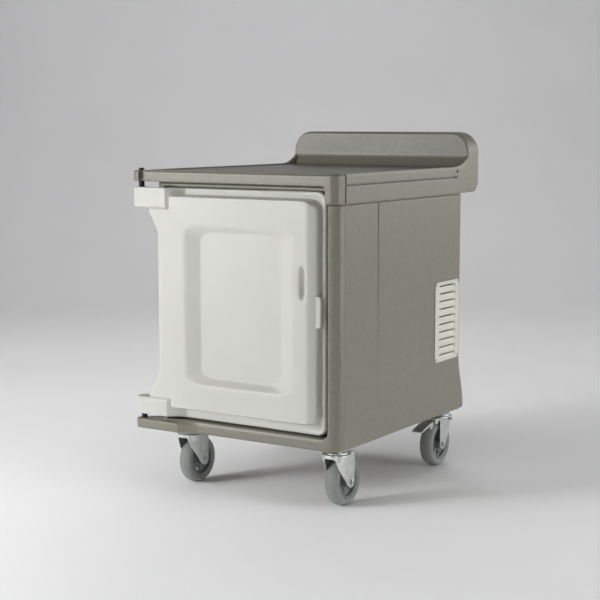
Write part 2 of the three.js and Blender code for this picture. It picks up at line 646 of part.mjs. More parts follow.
function fork(where) {
  const { x, y, way, brake } = where;
  const strip = (t0, t1, half, z0, z1) => box(x - half, Math.min(y + way * t0, y + way * t1), z0,
    x + half, Math.max(y + way * t0, y + way * t1), z1);
  const parts = [
    revolve("z", [[0, caster.crownBottom], [caster.crownRadius, caster.crownBottom],
      [caster.crownRadius, caster.crownTop - 1.5], [caster.crownRadius - 4, caster.crownTop],
      [34, caster.crownTop], [30, 174], [0, 174]], [x, y, 0], 20),
    strip(-30, 54, caster.legOuter, caster.crownBottom, caster.crownTop),
    cheek(where, -1),
    cheek(where, 1),
  ];
  if (brake) {
    const shelf = strip(53, 80, 27, caster.crownBottom, caster.crownTop);
    const wings = cut(
      strip(62, 80, 27, 151, caster.crownBottom + 1),
      strip(60, 82, 22.5, 140, caster.crownBottom),
    );
    parts.push(shelf, wings);
  }
  const cross = (trail, z, radius, steps) => prism("x", circle(y + way * trail, z, radius, steps),
    x - 40, x + 40);
  const holes = [
    prism("z", circle(x, y, 6.4, 16), 150, 200),
    cross(caster.trail, axleZ, caster.axleRadius + GAP, 16),
  ];
  if (brake) holes.push(cross(pedalPivot.trail, pedalPivot.z, pedalPivot.radius + 0.4, 12));
  return cut(union(...parts), ...holes);
}

function axle({ x, y, way }) {
  const end = caster.legOuter + GAP;
  return revolve("x", [[0, -end - 6], [8, -end - 6], [8, -end], [caster.axleRadius, -end],
    [caster.axleRadius, end], [8.5, end], [8.5, end + 5], [6, end + 7], [0, end + 7]],
    [x, y + way * caster.trail, axleZ], 12);
}

const wheelCentre = ({ x, y, way }) => [x, y + way * caster.trail, axleZ];

function tyre(where) {
  const w = caster.wheelHalf;
  const r = caster.wheelRadius;
  const inner = caster.hubRadius + GAP;
  return revolve("x", [[inner, -w + 3], [r - 12, -w], [r - 3.5, -w + 6], [r, -w + 18],
    [r, w - 18], [r - 3.5, w - 6], [r - 12, w], [inner, w - 3], [inner, -w + 3]], wheelCentre(where), 32);
}

function hub(where) {
  const w = caster.wheelHalf - 4;
  const rim = caster.hubRadius;
  const web = 6;
  return revolve("x", [[11.3, -26], [18, -26], [20, -web], [rim - 7, -web], [rim - 5, -w], [rim, -w],
    [rim, w], [rim - 5, w], [rim - 7, web], [20, web], [18, 26], [11.3, 26], [11.3, -26]],
    wheelCentre(where), 20);
}

function bearing(where) {
  const bore = caster.axleRadius + GAP;
  return revolve("x", [[bore, -27.4], [11, -27.4], [11, 27.4], [bore, 27.4], [bore, -27.4]],
    wheelCentre(where), 14);
}

// The foot lever of a brake, with its pivot rod and the shoe that comes down on the tyre.
function brakePedal({ x, y, way }) {
  const profile = [[62, 153.5], [78, 153.5], [86, 142], [95, 134], [104, 137], [110, 149.5], [146, 139],
    [166, 134], [166, 139], [150, 144], [114, 155], [80, 162], [62, 162]].map(([t, z]) => [y + way * t, z]);
  const lever = prism("x", profile, x - 20, x + 20);
  const rod = prism("x", circle(y + way * pedalPivot.trail, pedalPivot.z, pedalPivot.radius, 12),
    x - 27.6, x + 27.6);
  return union(lever, rod);
}

corners.forEach((where) => {
  node(`${where.name}_caster_plate`, casterPlate(where), colour.zinc, 0.35, 1);
  node(`${where.name}_kingpin`, kingpin(where), colour.steel, 0.35, 1);
  node(`${where.name}_fork`, fork(where), colour.zinc, 0.35, 1);
  node(`${where.name}_axle`, axle(where), colour.steel, 0.3, 1);
  node(`${where.name}_tyre`, tyre(where), colour.tyre, 0.75);
  node(`${where.name}_hub`, hub(where), colour.hub, 0.6);
  node(`${where.name}_bearing`, bearing(where), colour.steel, 0.35, 1);
  if (where.brake) node(`${where.name}_brake_pedal`, brakePedal(where), colour.zinc, 0.4, 1);
});

export default group;
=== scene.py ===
"""Insulated food carrier: detailed mouldings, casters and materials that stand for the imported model."""

import math

import bpy
import numpy as np
import openvdb
from mathutils import Matrix, Vector


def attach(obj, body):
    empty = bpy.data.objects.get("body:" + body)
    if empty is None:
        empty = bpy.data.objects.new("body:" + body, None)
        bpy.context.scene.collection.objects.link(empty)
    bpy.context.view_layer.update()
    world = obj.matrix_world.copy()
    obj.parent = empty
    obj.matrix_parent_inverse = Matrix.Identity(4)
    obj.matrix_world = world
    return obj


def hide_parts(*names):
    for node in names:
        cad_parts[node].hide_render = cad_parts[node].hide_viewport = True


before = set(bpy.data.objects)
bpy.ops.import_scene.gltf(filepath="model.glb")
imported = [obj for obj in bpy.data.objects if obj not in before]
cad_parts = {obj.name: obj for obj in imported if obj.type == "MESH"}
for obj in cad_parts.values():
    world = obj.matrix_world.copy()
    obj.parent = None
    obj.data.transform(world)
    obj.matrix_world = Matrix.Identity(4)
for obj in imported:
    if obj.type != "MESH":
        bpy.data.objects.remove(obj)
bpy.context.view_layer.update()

MM = 0.001


# ------------ outlines
def outline(corners, steps=8):
    """A closed outline with each corner (a, b, radius) rounded by an arc."""
    points = []
    count = len(corners)
    for i, (a, b, radius) in enumerate(corners):
        corner = np.array((a, b), float)
        if radius <= 0:
            points.append(tuple(corner))
            continue
        back = np.array(corners[i - 1][:2], float) - corner
        on = np.array(corners[(i + 1) % count][:2], float) - corner
        back /= np.linalg.norm(back)
        on /= np.linalg.norm(on)
        half = math.acos(np.clip(back @ on, -1, 1)) / 2
        middle = (back + on) / np.linalg.norm(back + on)
        centre = corner + middle * radius / math.sin(half)
        first = corner + back * radius / math.tan(half) - centre
        last = corner + on * radius / math.tan(half) - centre
        start = math.atan2(first[1], first[0])
        turn = math.atan2(last[1], last[0]) - start
        turn = (turn + math.pi) % (2 * math.pi) - math.pi
        for k in range(steps + 1):
            angle = start + turn * k / steps
            points.append((centre[0] + radius * math.cos(angle), centre[1] + radius * math.sin(angle)))
    return points


def rectangle(a0, b0, a1, b1, radius=0.0, steps=8):
    """A rectangle with one corner radius, or four from the low corner round to the high side."""
    radii = radius if isinstance(radius, (list, tuple)) else [radius] * 4
    corners = [(a0, b0, radii[0]), (a1, b0, radii[1]), (a1, b1, radii[2]), (a0, b1, radii[3])]
    return outline(corners, steps)


class Block:
    """Sample points in millimetres on which a moulding is described by signed distance."""

    def __init__(self, low, high, pitch):
        self.pitch = pitch * 1.0
        margin = 3 * self.pitch
        self.low = np.array(low, float) - margin
        count = np.ceil((np.array(high, float) + margin - self.low) / self.pitch).astype(int) + 1
        axes = [(self.low[k] + self.pitch * np.arange(count[k])).astype(np.float32) for k in range(3)]
        self.axes = axes[0][:, None, None], axes[1][None, :, None], axes[2][None, None, :]
        self.x, self.y, self.z = self.axes

    def across(self, axis):
        """The two coordinates that are square to an axis."""
        return {"x": (self.y, self.z), "y": (self.x, self.z), "z": (self.x, self.y)}[axis]

    def plan(self, axis, points):
        """Signed distance to a closed outline seen along an axis."""
        a, b = np.broadcast_arrays(*self.across(axis))
        best = np.full(a.shape, 1e12, np.float32)
        inside = np.zeros(a.shape, bool)
        for (a0, b0), (a1, b1) in zip(points, list(points[1:]) + [points[0]]):
            da, db = a1 - a0, b1 - b0
            length2 = da * da + db * db
            if length2 < 1e-9:
                continue
            t = np.clip(((a - a0) * da + (b - b0) * db) / length2, 0, 1)
            best = np.minimum(best, (a - a0 - t * da) ** 2 + (b - b0 - t * db) ** 2)
            if abs(db) > 1e-9:
                inside ^= ((b0 > b) != (b1 > b)) & (a < a0 + (b - b0) * da / db)
        distance = np.sqrt(best)
        return np.where(inside, -distance, distance).astype(np.float32)

    def radial(self, axis, a, b):
        """Distance from a line along an axis."""
        p, q = self.across(axis)
        return np.sqrt((p - a) ** 2 + (q - b) ** 2)

    def prism(self, axis, points, low, high, round_low=0.0, round_high=None):
        """An outline given thickness along an axis, its end edges rounded."""
        along = {"x": self.x, "y": self.y, "z": self.z}[axis]
        return thick(self.plan(axis, points), along, low, high, round_low, round_high)


def rounded(side, end, radius):
    """The overlap of two shapes whose faces are square to each other, its edge an arc of the radius."""
    side, end = side + radius, end + radius
    outside = np.sqrt(np.maximum(side, 0) ** 2 + np.maximum(end, 0) ** 2)
    return outside + np.minimum(np.maximum(side, end), 0) - radius


def thick(flat, along, low, high, round_low=0.0, round_high=None):
    """A flat shape given thickness from low to high, its end edges rounded."""
    round_high = round_low if round_high is None else round_high
    middle = (low + high) / 2
    ends = np.abs(along - middle) - (high - low) / 2
    if round_low <= 0 and round_high <= 0:
        return np.maximum(flat, ends)
    return rounded(flat, ends, np.where(along < middle, round_low, round_high).astype(np.float32))


def join(a, b, fillet=0.0):
    """Union, with a fillet of about the given radius where the shapes meet.

    The radius may be an array, for a fillet that varies from place to place.
    """
    if np.max(fillet) <= 0:
        return np.minimum(a, b)
    k = 1.17 * fillet
    h = np.maximum(k - np.abs(a - b), 0)
    return np.minimum(a, b) - h * h / (4 * k)


def meet(a, b, fillet=0.0):
    """Intersection, its edges rounded to about the given radius."""
    return -join(-a, -b, fillet)


def carve(a, b, fillet=0.0):
    """a with b taken away, the new edges rounded to about the given radius."""
    return meet(a, -b, fillet)


def plane(value, slope):
    """A half-space whose distance is scaled for the slope of its face."""
    return value / math.sqrt(1 + slope * slope)


def sample(field, block, points):
    """The field's value at points, by linear interpolation."""
    at = (points - block.low) / block.pitch
    top = np.array(field.shape) - 2
    cell = np.clip(np.floor(at).astype(int), 0, top)
    f = at - cell
    value = np.zeros(len(points))
    for i, j, k in np.ndindex(2, 2, 2):
        share = np.abs(1 - i - f[:, 0]) * np.abs(1 - j - f[:, 1]) * np.abs(1 - k - f[:, 2])
        value += share * field[cell[:, 0] + i, cell[:, 1] + j, cell[:, 2] + k]
    return value


def smooth_mesh(name, vertices, faces):
    """A smooth-shaded mesh from vertices in metres."""
    mesh = bpy.data.meshes.new(name)
    mesh.from_pydata(vertices, [], faces)
    mesh.update()
    mesh.polygons.foreach_set("use_smooth", [True] * len(mesh.polygons))
    return mesh


def moulding(name, block, field, adaptivity=0.02):
    """The surface of a signed distance field as a mesh object in metres."""
    band = 3 * block.pitch
    clipped = np.ascontiguousarray(np.clip(field, -band, band), dtype=np.float32)
    volume = openvdb.FloatGrid(band)
    volume.copyFromArray(clipped)
    points, triangles, quads = volume.convertToPolygons(isovalue=0.0, adaptivity=adaptivity)
    vertices = np.asarray(points, float) * block.pitch + block.low
    faces = [tuple(int(v) for v in face) for part in (triangles, quads) for face in part]
    shifts = 0.5 * block.pitch * np.eye(3)
    normals = np.stack([sample(field, block, vertices + shift) - sample(field, block, vertices - shift)
                        for shift in shifts], axis=1)
    normals /= np.maximum(np.linalg.norm(normals, axis=1), 1e-9)[:, None]
    first = np.array(faces[0])
    face_normal = np.cross(vertices[first[1]] - vertices[first[0]], vertices[first[2]] - vertices[first[0]])
    if face_normal @ normals[first[0]] < 0:
        faces = [face[::-1] for face in faces]
    mesh = smooth_mesh(name, (vertices * MM).tolist(), faces)
    mesh.normals_split_custom_set_from_vertices(normals.tolist())
    return add(name, mesh)


# ------------ small pieces
def add(name, mesh):
    """A new object in the scene."""
    piece = bpy.data.objects.new(name, mesh)
    bpy.context.scene.collection.objects.link(piece)
    return piece


def mesh_of(name, vertices, faces, crease=35):
    """A closed mesh from vertices in millimetres, facing outward, smooth except across sharp edges."""
    mesh = smooth_mesh(name, [tuple(v * MM for v in p) for p in vertices], faces)
    mesh.set_sharp_from_angle(angle=math.radians(crease))
    mesh.calc_loop_triangles()
    volume = 0.0
    for triangle in mesh.loop_triangles:
        a, b, c = (mesh.vertices[i].co for i in triangle.vertices)
        volume += a.dot(b.cross(c))
    if volume < 0:
        mesh.flip_normals()
    return mesh


def bands(pairs, size):
    """Faces between pairs of rings, each ring a loop of size vertices."""
    return [(r * size + i, r * size + (i + 1) % size, s * size + (i + 1) % size, s * size + i)
            for r, s in pairs for i in range(size)]


def lathe_mesh(name, axis, profile, segments, crease=35):
    """A closed profile of (radius, along) turned about an axis through the origin."""
    vertices, faces = [], []
    rings = [[] for _ in range(segments)]
    for k in range(segments):
        t = 2 * math.pi * k / segments
        for r, h in profile:
            if r < 1e-6 and k > 0:
                rings[k].append(rings[0][len(rings[k])])
                continue
            c, s = r * math.cos(t), r * math.sin(t)
            rings[k].append(len(vertices))
            vertices.append((h, c, s) if axis == "x" else (c, s, h))
    for here, there in zip(rings, rings[1:] + rings[:1]):
        for i in range(len(profile)):
            j = (i + 1) % len(profile)
            loop = tuple(dict.fromkeys((here[i], here[j], there[j], there[i])))
            if len(loop) > 2:
                faces.append(loop)
    return mesh_of(name, vertices, faces, crease)


def prism_mesh(name, axis, points, low, high, bevel):
    """An outline given thickness, its end edges bevelled."""
    rings = [(low, bevel), (low + bevel, 0.0), (high - bevel, 0.0), (high, bevel)]
    centre = np.mean(points, axis=0)
    vertices = []
    count = len(points)
    for at, inset in rings:
        for a, b in points:
            d = np.array((a, b)) - centre
            length = max(np.linalg.norm(d), 1e-6)
            a2, b2 = centre + d * (1 - inset / length)
            vertices.append({"x": (at, a2, b2), "y": (a2, at, b2), "z": (a2, b2, at)}[axis])
    faces = bands([(r, r + 1) for r in range(len(rings) - 1)], count)
    faces.append(tuple(range(count)))
    faces.append(tuple(reversed(range((len(rings) - 1) * count, len(rings) * count))))
    return mesh_of(name, vertices, faces)


def sweep_mesh(name, path, section):
    """A closed loop in the XZ plane with a section of (outward, y) carried round it."""
    count = len(path)
    vertices = []
    for k, (a, b) in enumerate(path):
        way = np.array(path[(k + 1) % count]) - np.array(path[k - 1])
        way = way / np.linalg.norm(way)
        for out, y in section:
            vertices.append((a + way[1] * out, y, b - way[0] * out))
    return mesh_of(name, vertices, bands([(k, (k + 1) % count) for k in range(count)], len(section)))


def fit(piece, body, slot, *nodes):
    """Gives a piece its body and the material of its record slot, and hides the CAD nodes it stands for."""
    if not piece.data.materials:
        piece.data.materials.append(MATERIALS[slot])
    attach(piece, body)
    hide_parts(*nodes)


# ------------ materials
def linear(r, g, b):
    """Linear colour from 8-bit sRGB values."""
    parts = [v / 255 for v in (r, g, b)]
    return tuple(((v + 0.055) / 1.055) ** 2.4 if v > 0.04 else v / 12.92 for v in parts) + (1.0,)


class Finish:
    """A principled material with helpers for procedural detail, in metres of the piece's own frame."""

    def __init__(self, name, sockets):
        self.material = bpy.data.materials.new(name)
        self.material.use_nodes = True
        self.tree = self.material.node_tree
        self.shader = self.fill(self.tree.nodes["Principled BSDF"], sockets)
        self.place = self.node("ShaderNodeTexCoord").outputs["Object"]

    def node(self, kind, **sockets):
        return self.fill(self.tree.nodes.new(kind), sockets)

    def fill(self, node, sockets):
        """Gives a node's sockets their values, or links them where the value is another node's output."""
        for key, value in sockets.items():
            socket = node.inputs[key if isinstance(key, int) else key.replace("_", " ")]
            if isinstance(value, bpy.types.NodeSocket):
                self.tree.links.new(value, socket)
            else:
                socket.default_value = value
        return node

    def noise(self, size, detail, rough=0.5, stretch=None):
        """Noise whose features are about size metres across, from 0 to 1."""
        where = self.place
        if stretch:
            where = self.node("ShaderNodeMapping", Scale=stretch, Vector=where).outputs["Vector"]
        node = self.node("ShaderNodeTexNoise", Scale=1 / size, Detail=detail, Roughness=rough, Vector=where)
        return node.outputs["Fac"]

    def edges(self):
        """How far the surface bulges, 0.5 where it is flat."""
        return self.node("ShaderNodeNewGeometry").outputs["Pointiness"]

    def ramp(self, value, spread, first, second):
        """A colour that passes from the first to the second round the value's middle."""
        node = self.node("ShaderNodeValToRGB", Fac=value)
        stops = ((0.5 - spread, first), (0.5 + spread, second))
        for element, (position, colour) in zip(node.color_ramp.elements, stops):
            element.position, element.color = position, linear(*colour)
        return node.outputs["Color"]

    def grey(self, value, low, high, dark, bright):
        """A value stretched from low..high to dark..bright."""
        node = self.node("ShaderNodeMapRange", Value=value, From_Min=low, From_Max=high, To_Min=dark,
                         To_Max=bright)
        return node.outputs["Result"]

    def mix(self, share, colour, tint):
        """A colour with a share of a plain tint mixed in."""
        node = self.node("ShaderNodeMix")
        node.data_type = "RGBA"
        return self.fill(node, {0: share, 6: colour, 7: linear(*tint)}).outputs[2]

    def bump(self, height, strength, depth, under):
        """A bump of a depth in metres, on top of the one under it if there is one."""
        node = self.node("ShaderNodeBump", Height=height, Strength=strength, Distance=depth, **under)
        return {"Normal": node.outputs["Normal"]}


EDGES = "edges"  # stands in for a noise where marks follow the piece's worn edges
MATERIALS = {}  # by the name of their record slot


def finish(name, roughness, base, marks, gloss, bumps, metallic=0.0, spread=0.2, **sockets):
    """A material: a drifting base tone, marks mixed over it in turn, wandering gloss and bumps.

    base is (noise, first, second), a mark (noise, low, high, share, tint), gloss
    (noise, low, high) and a bump (noise, strength, depth). A noise is (size, detail, rough, stretch),
    of which the last two may be left out.
    """
    f = Finish(name, dict(sockets, Roughness=roughness, Metallic=metallic))
    noise, first, second = base
    colour = f.ramp(f.noise(*noise), spread, first, second)
    for noise, low, high, share, tint in marks:
        source = f.edges() if noise == EDGES else f.noise(*noise)
        colour = f.mix(f.grey(source, low, high, 0.0, share), colour, tint)
    look = {"Base Color": colour}
    if gloss:
        noise, low, high = gloss
        look["Roughness"] = f.grey(f.noise(*noise), 0.3, 0.7, low, high)
    normal = {}
    for noise, strength, depth in bumps:
        normal = f.bump(f.noise(*noise), strength, depth, normal)
    f.fill(f.shader, {**look, **normal})
    MATERIALS[name] = f.material


# Rotomoulded polyethylene: grey with fine dark and pale specks and a pebbled skin.
finish(
    "granite_polyethylene", 0.5, ((0.016, 3.0, 0.6), (136, 132, 119), (142, 138, 125)),
    [((0.0016, 1.0), 0.60, 0.68, 1.0, (110, 106, 96)),
     ((0.0021, 1.0, 0.5, (1.0, 1.13, 0.91)), 0.62, 0.70, 1.0, (162, 158, 146)),
     ((0.23, 3.0), 0.3, 0.7, 0.1, (124, 119, 107)), (EDGES, 0.53, 0.62, 0.3, (164, 160, 149))],
    ((0.0032, 2.0), 0.32, 0.45), [((0.0048, 2.0), 0.25, 0.0004), ((0.0014, 1.0), 0.25, 0.00012)],
    spread=0.18)
# The door's off-white polyethylene, faintly pebbled, a little marked and scratched by use.
finish(
    "white_polyethylene", 0.42, ((0.35, 3.0), (218, 218, 211), (223, 223, 217)),
    [((0.06, 4.0, 0.6), 0.55, 0.8, 0.22, (216, 214, 203)),
     ((0.004, 2.0, 0.5, (1.0, 1.0, 0.035)), 0.69, 0.74, 0.25, (205, 203, 194))],
    ((0.02, 4.0), 0.36, 0.5), [((0.0045, 2.0), 0.25, 0.0003), ((0.05, 1.0), 0.2, 0.0012)],
    Subsurface_Weight=0.6, Subsurface_Scale=0.02, Subsurface_Radius=(1.0, 0.96, 0.88))
finish(
    "liner_polyethylene", 0.5, ((0.09, 4.0), (160, 157, 146), (170, 167, 157)),
    [((0.0022, 1.0), 0.63, 0.70, 0.7, (122, 119, 110))],
    ((0.004, 2.0), 0.42, 0.6), [((0.006, 2.0), 0.3, 0.0004)])
finish(
    "ivory_abs", 0.38, ((0.08, 3.0), (219, 217, 203), (227, 225, 213)),
    [((0.012, 4.0, 0.65), 0.58, 0.8, 0.3, (186, 182, 168))],
    ((0.01, 3.0), 0.33, 0.48), [((0.0011, 1.0), 0.25, 0.00012)])
finish(
    "black_nylon", 0.4, ((0.004, 3.0), (22, 22, 23), (34, 34, 35)), [],
    ((0.003, 2.0), 0.34, 0.5), [((0.0009, 1.0), 0.3, 0.0001)])
# Bright zinc plate: faint clouding, dull spots and fine rolling lines.
finish(
    "zinc_steel", 0.32, ((0.018, 4.0, 0.6), (208, 213, 211), (232, 234, 231)),
    [((0.005, 3.0), 0.62, 0.78, 0.35, (168, 170, 164))],
    ((0.012, 5.0, 0.65), 0.32, 0.47), [((0.0012, 2.0, 0.5, (1.0, 1.0, 0.08)), 0.12, 0.0001)], 1.0)
finish(
    "stainless_fastener", 0.28, ((0.006, 4.0), (196, 198, 196), (212, 214, 212)), [],
    ((0.0016, 2.0), 0.22, 0.4), [((0.0008, 1.0), 0.15, 0.00008)], 1.0)
# Grey non-marking rubber with dust ground into it.
finish(
    "grey_tyre", 0.62, ((0.03, 4.0), (142, 145, 143), (154, 157, 154)),
    [((0.006, 4.0, 0.7), 0.52, 0.75, 0.4, (120, 120, 117))],
    ((0.005, 3.0), 0.52, 0.72), [((0.0012, 2.0), 0.3, 0.0002)])
# The hub's darker grey is partly its own colour and partly painted shade for the shaded side of the wheel.
finish(
    "grey_hub", 0.45, ((0.02, 3.0), (122, 125, 126), (134, 137, 137)), [],
    ((0.004, 2.0), 0.38, 0.54), [((0.0012, 1.0), 0.25, 0.00012)])
finish(
    "gasket_rubber", 0.6, ((0.01, 3.0), (42, 42, 42), (56, 56, 55)), [],
    ((0.003, 2.0), 0.5, 0.7), [((0.0012, 1.0), 0.3, 0.00015)])
finish(
    "studio_paper", 0.75, ((0.9, 2.0), (234, 234, 235), (237, 237, 238)), [],
    None, [((0.002, 2.0), 0.08, 0.0003)])


# ------------ dimensions, in millimetres
class Size:
    """Named dimensions of one feature."""

    def __init__(self, **values):
        for name, value in values.items():
            setattr(self, name, value)


FRONT = -466.0  # the foremost face of the cap and of the door
GAP = 0.3  # clearance between pieces that touch
LINER_ROOM = 3.3  # the liner's wall and its clearance
BODY = Size(left=-305, right=374, front=-445, rear=366, flare=402, bottom=190.5, top=981.7,
            flare_low=217, flare_high=368, front_radius=38, rear_radius=25)
OPENING = Size(left=-265, right=334, bottom=229, top=967, radius=22, hinge_radius=5, jamb=-392)
CAVITY = Size(left=-228, right=297, bottom=262, top=937, rear=321, radius=18)
FLUTE = Size(y=-212, foot=358, top=929, foot_depth=4.5, more_depth=4.5, slope=2.4)
SHADOW_GAP = Size(z=927.5, half=2.6, depth=4.5)
REBATE = Size(bottom=977.5, depth=8)
PIN = Size(x=-357.5, y=-441.5, knuckle=24.5, hole=6.4)
EAR = Size(slant_from=-209, slant_to=-153, base_top=222, reach=70, step=30)
CAP = Size(left=-313, right=382, low=982, top=1014, rim=1019.5, skirt=930, block_left=335, block_rear=-420,
           cove=321, cove_top=1046, face=386, rear=466, height=1134, face_radius=72, tail_radius=36,
           rim_in=1.5, rim_width=17, corner_depth=45, panel_rear=303, lug_left=-315)
RISE = Size(start=285, end=390, height=34, power=2.2, width=14)
SEAMS = Size(band_z=984.4, band_half=1.8, band_depth=8, corner_half=3.0, corner_depth=10, panel_depth=0.9)
GROOVE = Size(z=1015.2, half=1.8, depth=6)
LUG_SLOT = Size(x=-337.2, half=12.5, depth=14, bottom=960)
GRIP = Size(left=-248, right=317, front=392, rear=438, top=1004)
PORT = Size(y=306, z=1003, radius=4.5, depth=9)
VENT = Size(left=166, right=339, bottom=376, top=643, count=10, pitch=25.5, half=58, face=377, slope=0.45,
            pocket=17, slot_down=3.2, slot_half=2.3)
VENT_SCREWS = [(252.5 + a * 77, 509.5 + b * 124) for a, b in ((1, 1), (1, -1), (-1, 1), (-1, -1))]
DOOR = Size(flange=-429, back=-404, left=-261, right=320, bottom=235, top=964, radius=28, hinge_radius=6)
BEAD = Size(inset=6.5, half=5.5, start=127, fade_from=215, fade=90, height=5, sunk=2)
PLATEAU = Size(right=276, foot=305, bottom=272, top=938, bevel=1.55, wall=0.3, end=4,
               corner=8, foot_corner=34, corner_depth=20)
RECESS = Size(left=-175, right=224, bottom=353, top=852, depth=18, side=50, end=20, corner=20)
SCOOP = Size(left=183, right=269, deep_left=245, bottom=624, top=757, dish=5, grip=18, lift=4, tall=50,
             run=60, fall=0.28)
TAB = Size(left=262, right=313, front=-452, bottom=563, top=657)
WING = [  # the raised front's left side, which reaches out between the ears; its right side is left open
    (-233, 240, 0), (600, 240, 0), (600, 990, 0), (-233, 990, 0), (-233, 899, 3), (-311, 899, 3),
    (-311, 888, 6), (-277, 826, 14), (-277, 383, 14), (-319, 308, 6), (-319, 297, 3), (-233, 297, 3)]
WING_BACK = -448  # the rear face of the ears and of the wing beside the slab
EARS = ((901, 964, 4), (237.5, 295, 11))  # the door's hinge ears: bottom, top, rounding of the top edge
SKIN = Size(front=-404 + GAP, rear=-400, border=44, half=4, groove=1.6)
MAGNET = ((297, -402.2, 572), (311, -395, 648))
STRIKE = ((297, -394, 572), (311, -391.8, 648))
SEAL_PATH = Size(left=-250, right=310, bottom=248, top=952, radius=15, front=-399.7, rear=-392.3)
RACK = Size(front=-372, rear=312, bottom=280, top=917, wall=6, ledges=6, lowest=316, pitch=105, reach=24)
SWIVEL = Size(trail=35, axle=76.2, wheel=76.2, half=23, race=178, plate=186.3, crown=168, leg=32, hub=54,
              disc=44, cheek=3.6, brake_y=70, brake_z=158)


def framed(size, inset, radius, inset_z=None):
    """The rectangle of a size's left, bottom, right and top, drawn in by an inset."""
    up = inset if inset_z is None else inset_z
    return rectangle(size.left + inset, size.bottom + up, size.right - inset, size.top - up, radius)


def arc_round_pin(start, turn, steps):
    """Points round the hinge pin's knuckle, cut off flat at the front; angles are in half turns."""
    points = []
    for k in range(steps + 1):
        angle = (start + turn * k / steps) * math.pi
        y = max(PIN.y + PIN.knuckle * math.sin(angle), FRONT)
        points.append((PIN.x + PIN.knuckle * math.cos(angle), y))
    return points


def pin_hole(block, low, high):
    """The bore round the hinge pin, with its clearance."""
    return thick(block.radial("z", PIN.x, PIN.y) - PIN.hole, block.z, low, high)


def ear_plan(wall):
    """The hinge ear at the front left corner of the cabinet or the cap, seen from above."""
    front = BODY.front
    return arc_round_pin(0.5, 1, 16) + [
        (EAR.slant_from, FRONT), (EAR.slant_to, front), (EAR.slant_to, front + EAR.step),
        (wall + 12, front + EAR.reach), (wall, front + EAR.reach)]


def rear_wall(z):
    """Where the rear wall stands at each height: it flares out towards the base."""
    share = np.clip((BODY.flare_high - z) / (BODY.flare_high - BODY.flare_low), 0, 1)
    eased = share - 0.06 * np.sin(2 * np.pi * share)
    return BODY.rear + (BODY.flare - BODY.rear) * eased


def body_block(block, grow=0.0):
    """The cabinet's outer form, or one that stands out from it by grow."""
    rear = rear_wall(block.z)
    side = np.abs(block.x - (BODY.right + BODY.left) / 2) - (BODY.right - BODY.left) / 2
    along = block.y - (rear + BODY.front) / 2
    radius = np.where(along < 0, BODY.front_radius, BODY.rear_radius)
    flat = rounded(side, np.abs(along) - (rear - BODY.front) / 2, radius)
    return thick(flat - grow, block.z, BODY.bottom - grow, BODY.top + grow, 9, 3)


def cabinet():
    """The outer shell: hinge ear, door opening, room for liner and vent, flute, shadow gap and rebate."""
    block = Block((-384, -468, 188), (376, 404, 984), 2.8)
    x, y, z = block.axes
    front, right, jamb = BODY.front, BODY.right, OPENING.jamb
    ear = block.prism("z", ear_plan(BODY.left + 1), BODY.bottom, EAR.base_top, 5, 6)
    whole = join(body_block(block), ear, 7)
    near, far = OPENING.hinge_radius, OPENING.radius
    mouth = framed(OPENING, 0, [near, far, far, near])
    whole = carve(whole, block.prism("y", mouth, front - 60, jamb + LINER_ROOM), 5)
    tub = framed(CAVITY, -LINER_ROOM, CAVITY.radius + LINER_ROOM)
    whole = carve(whole, block.prism("y", tub, jamb - 10, CAVITY.rear + LINER_ROOM))
    pan = block.prism("x", framed(VENT, 12, 8, 4), right - 20, right + 20)
    whole = carve(whole, pan, 2)
    height = np.clip((z - FLUTE.foot) / (FLUTE.top - FLUTE.foot), 0, 1)
    bottom = right - FLUTE.foot_depth - FLUTE.more_depth * height
    flute = (bottom + FLUTE.slope * np.abs(y - FLUTE.y) - x) / 2.6
    whole = carve(whole, meet(flute, (FLUTE.foot - 2 - z) / 6), 1)
    gap = meet(np.abs(z - SHADOW_GAP.z) - SHADOW_GAP.half, -body_block(block, -SHADOW_GAP.depth))
    at_door = np.minimum(front + CAP.corner_depth - y, CAP.block_left - x)
    whole = carve(whole, meet(gap, at_door), 0.5)
    whole = carve(whole, meet(REBATE.bottom - z, y - front - REBATE.depth), 0.5)
    whole = carve(whole, pin_hole(block, 180, 230))
    return moulding("cabinet_moulding", block, whole)


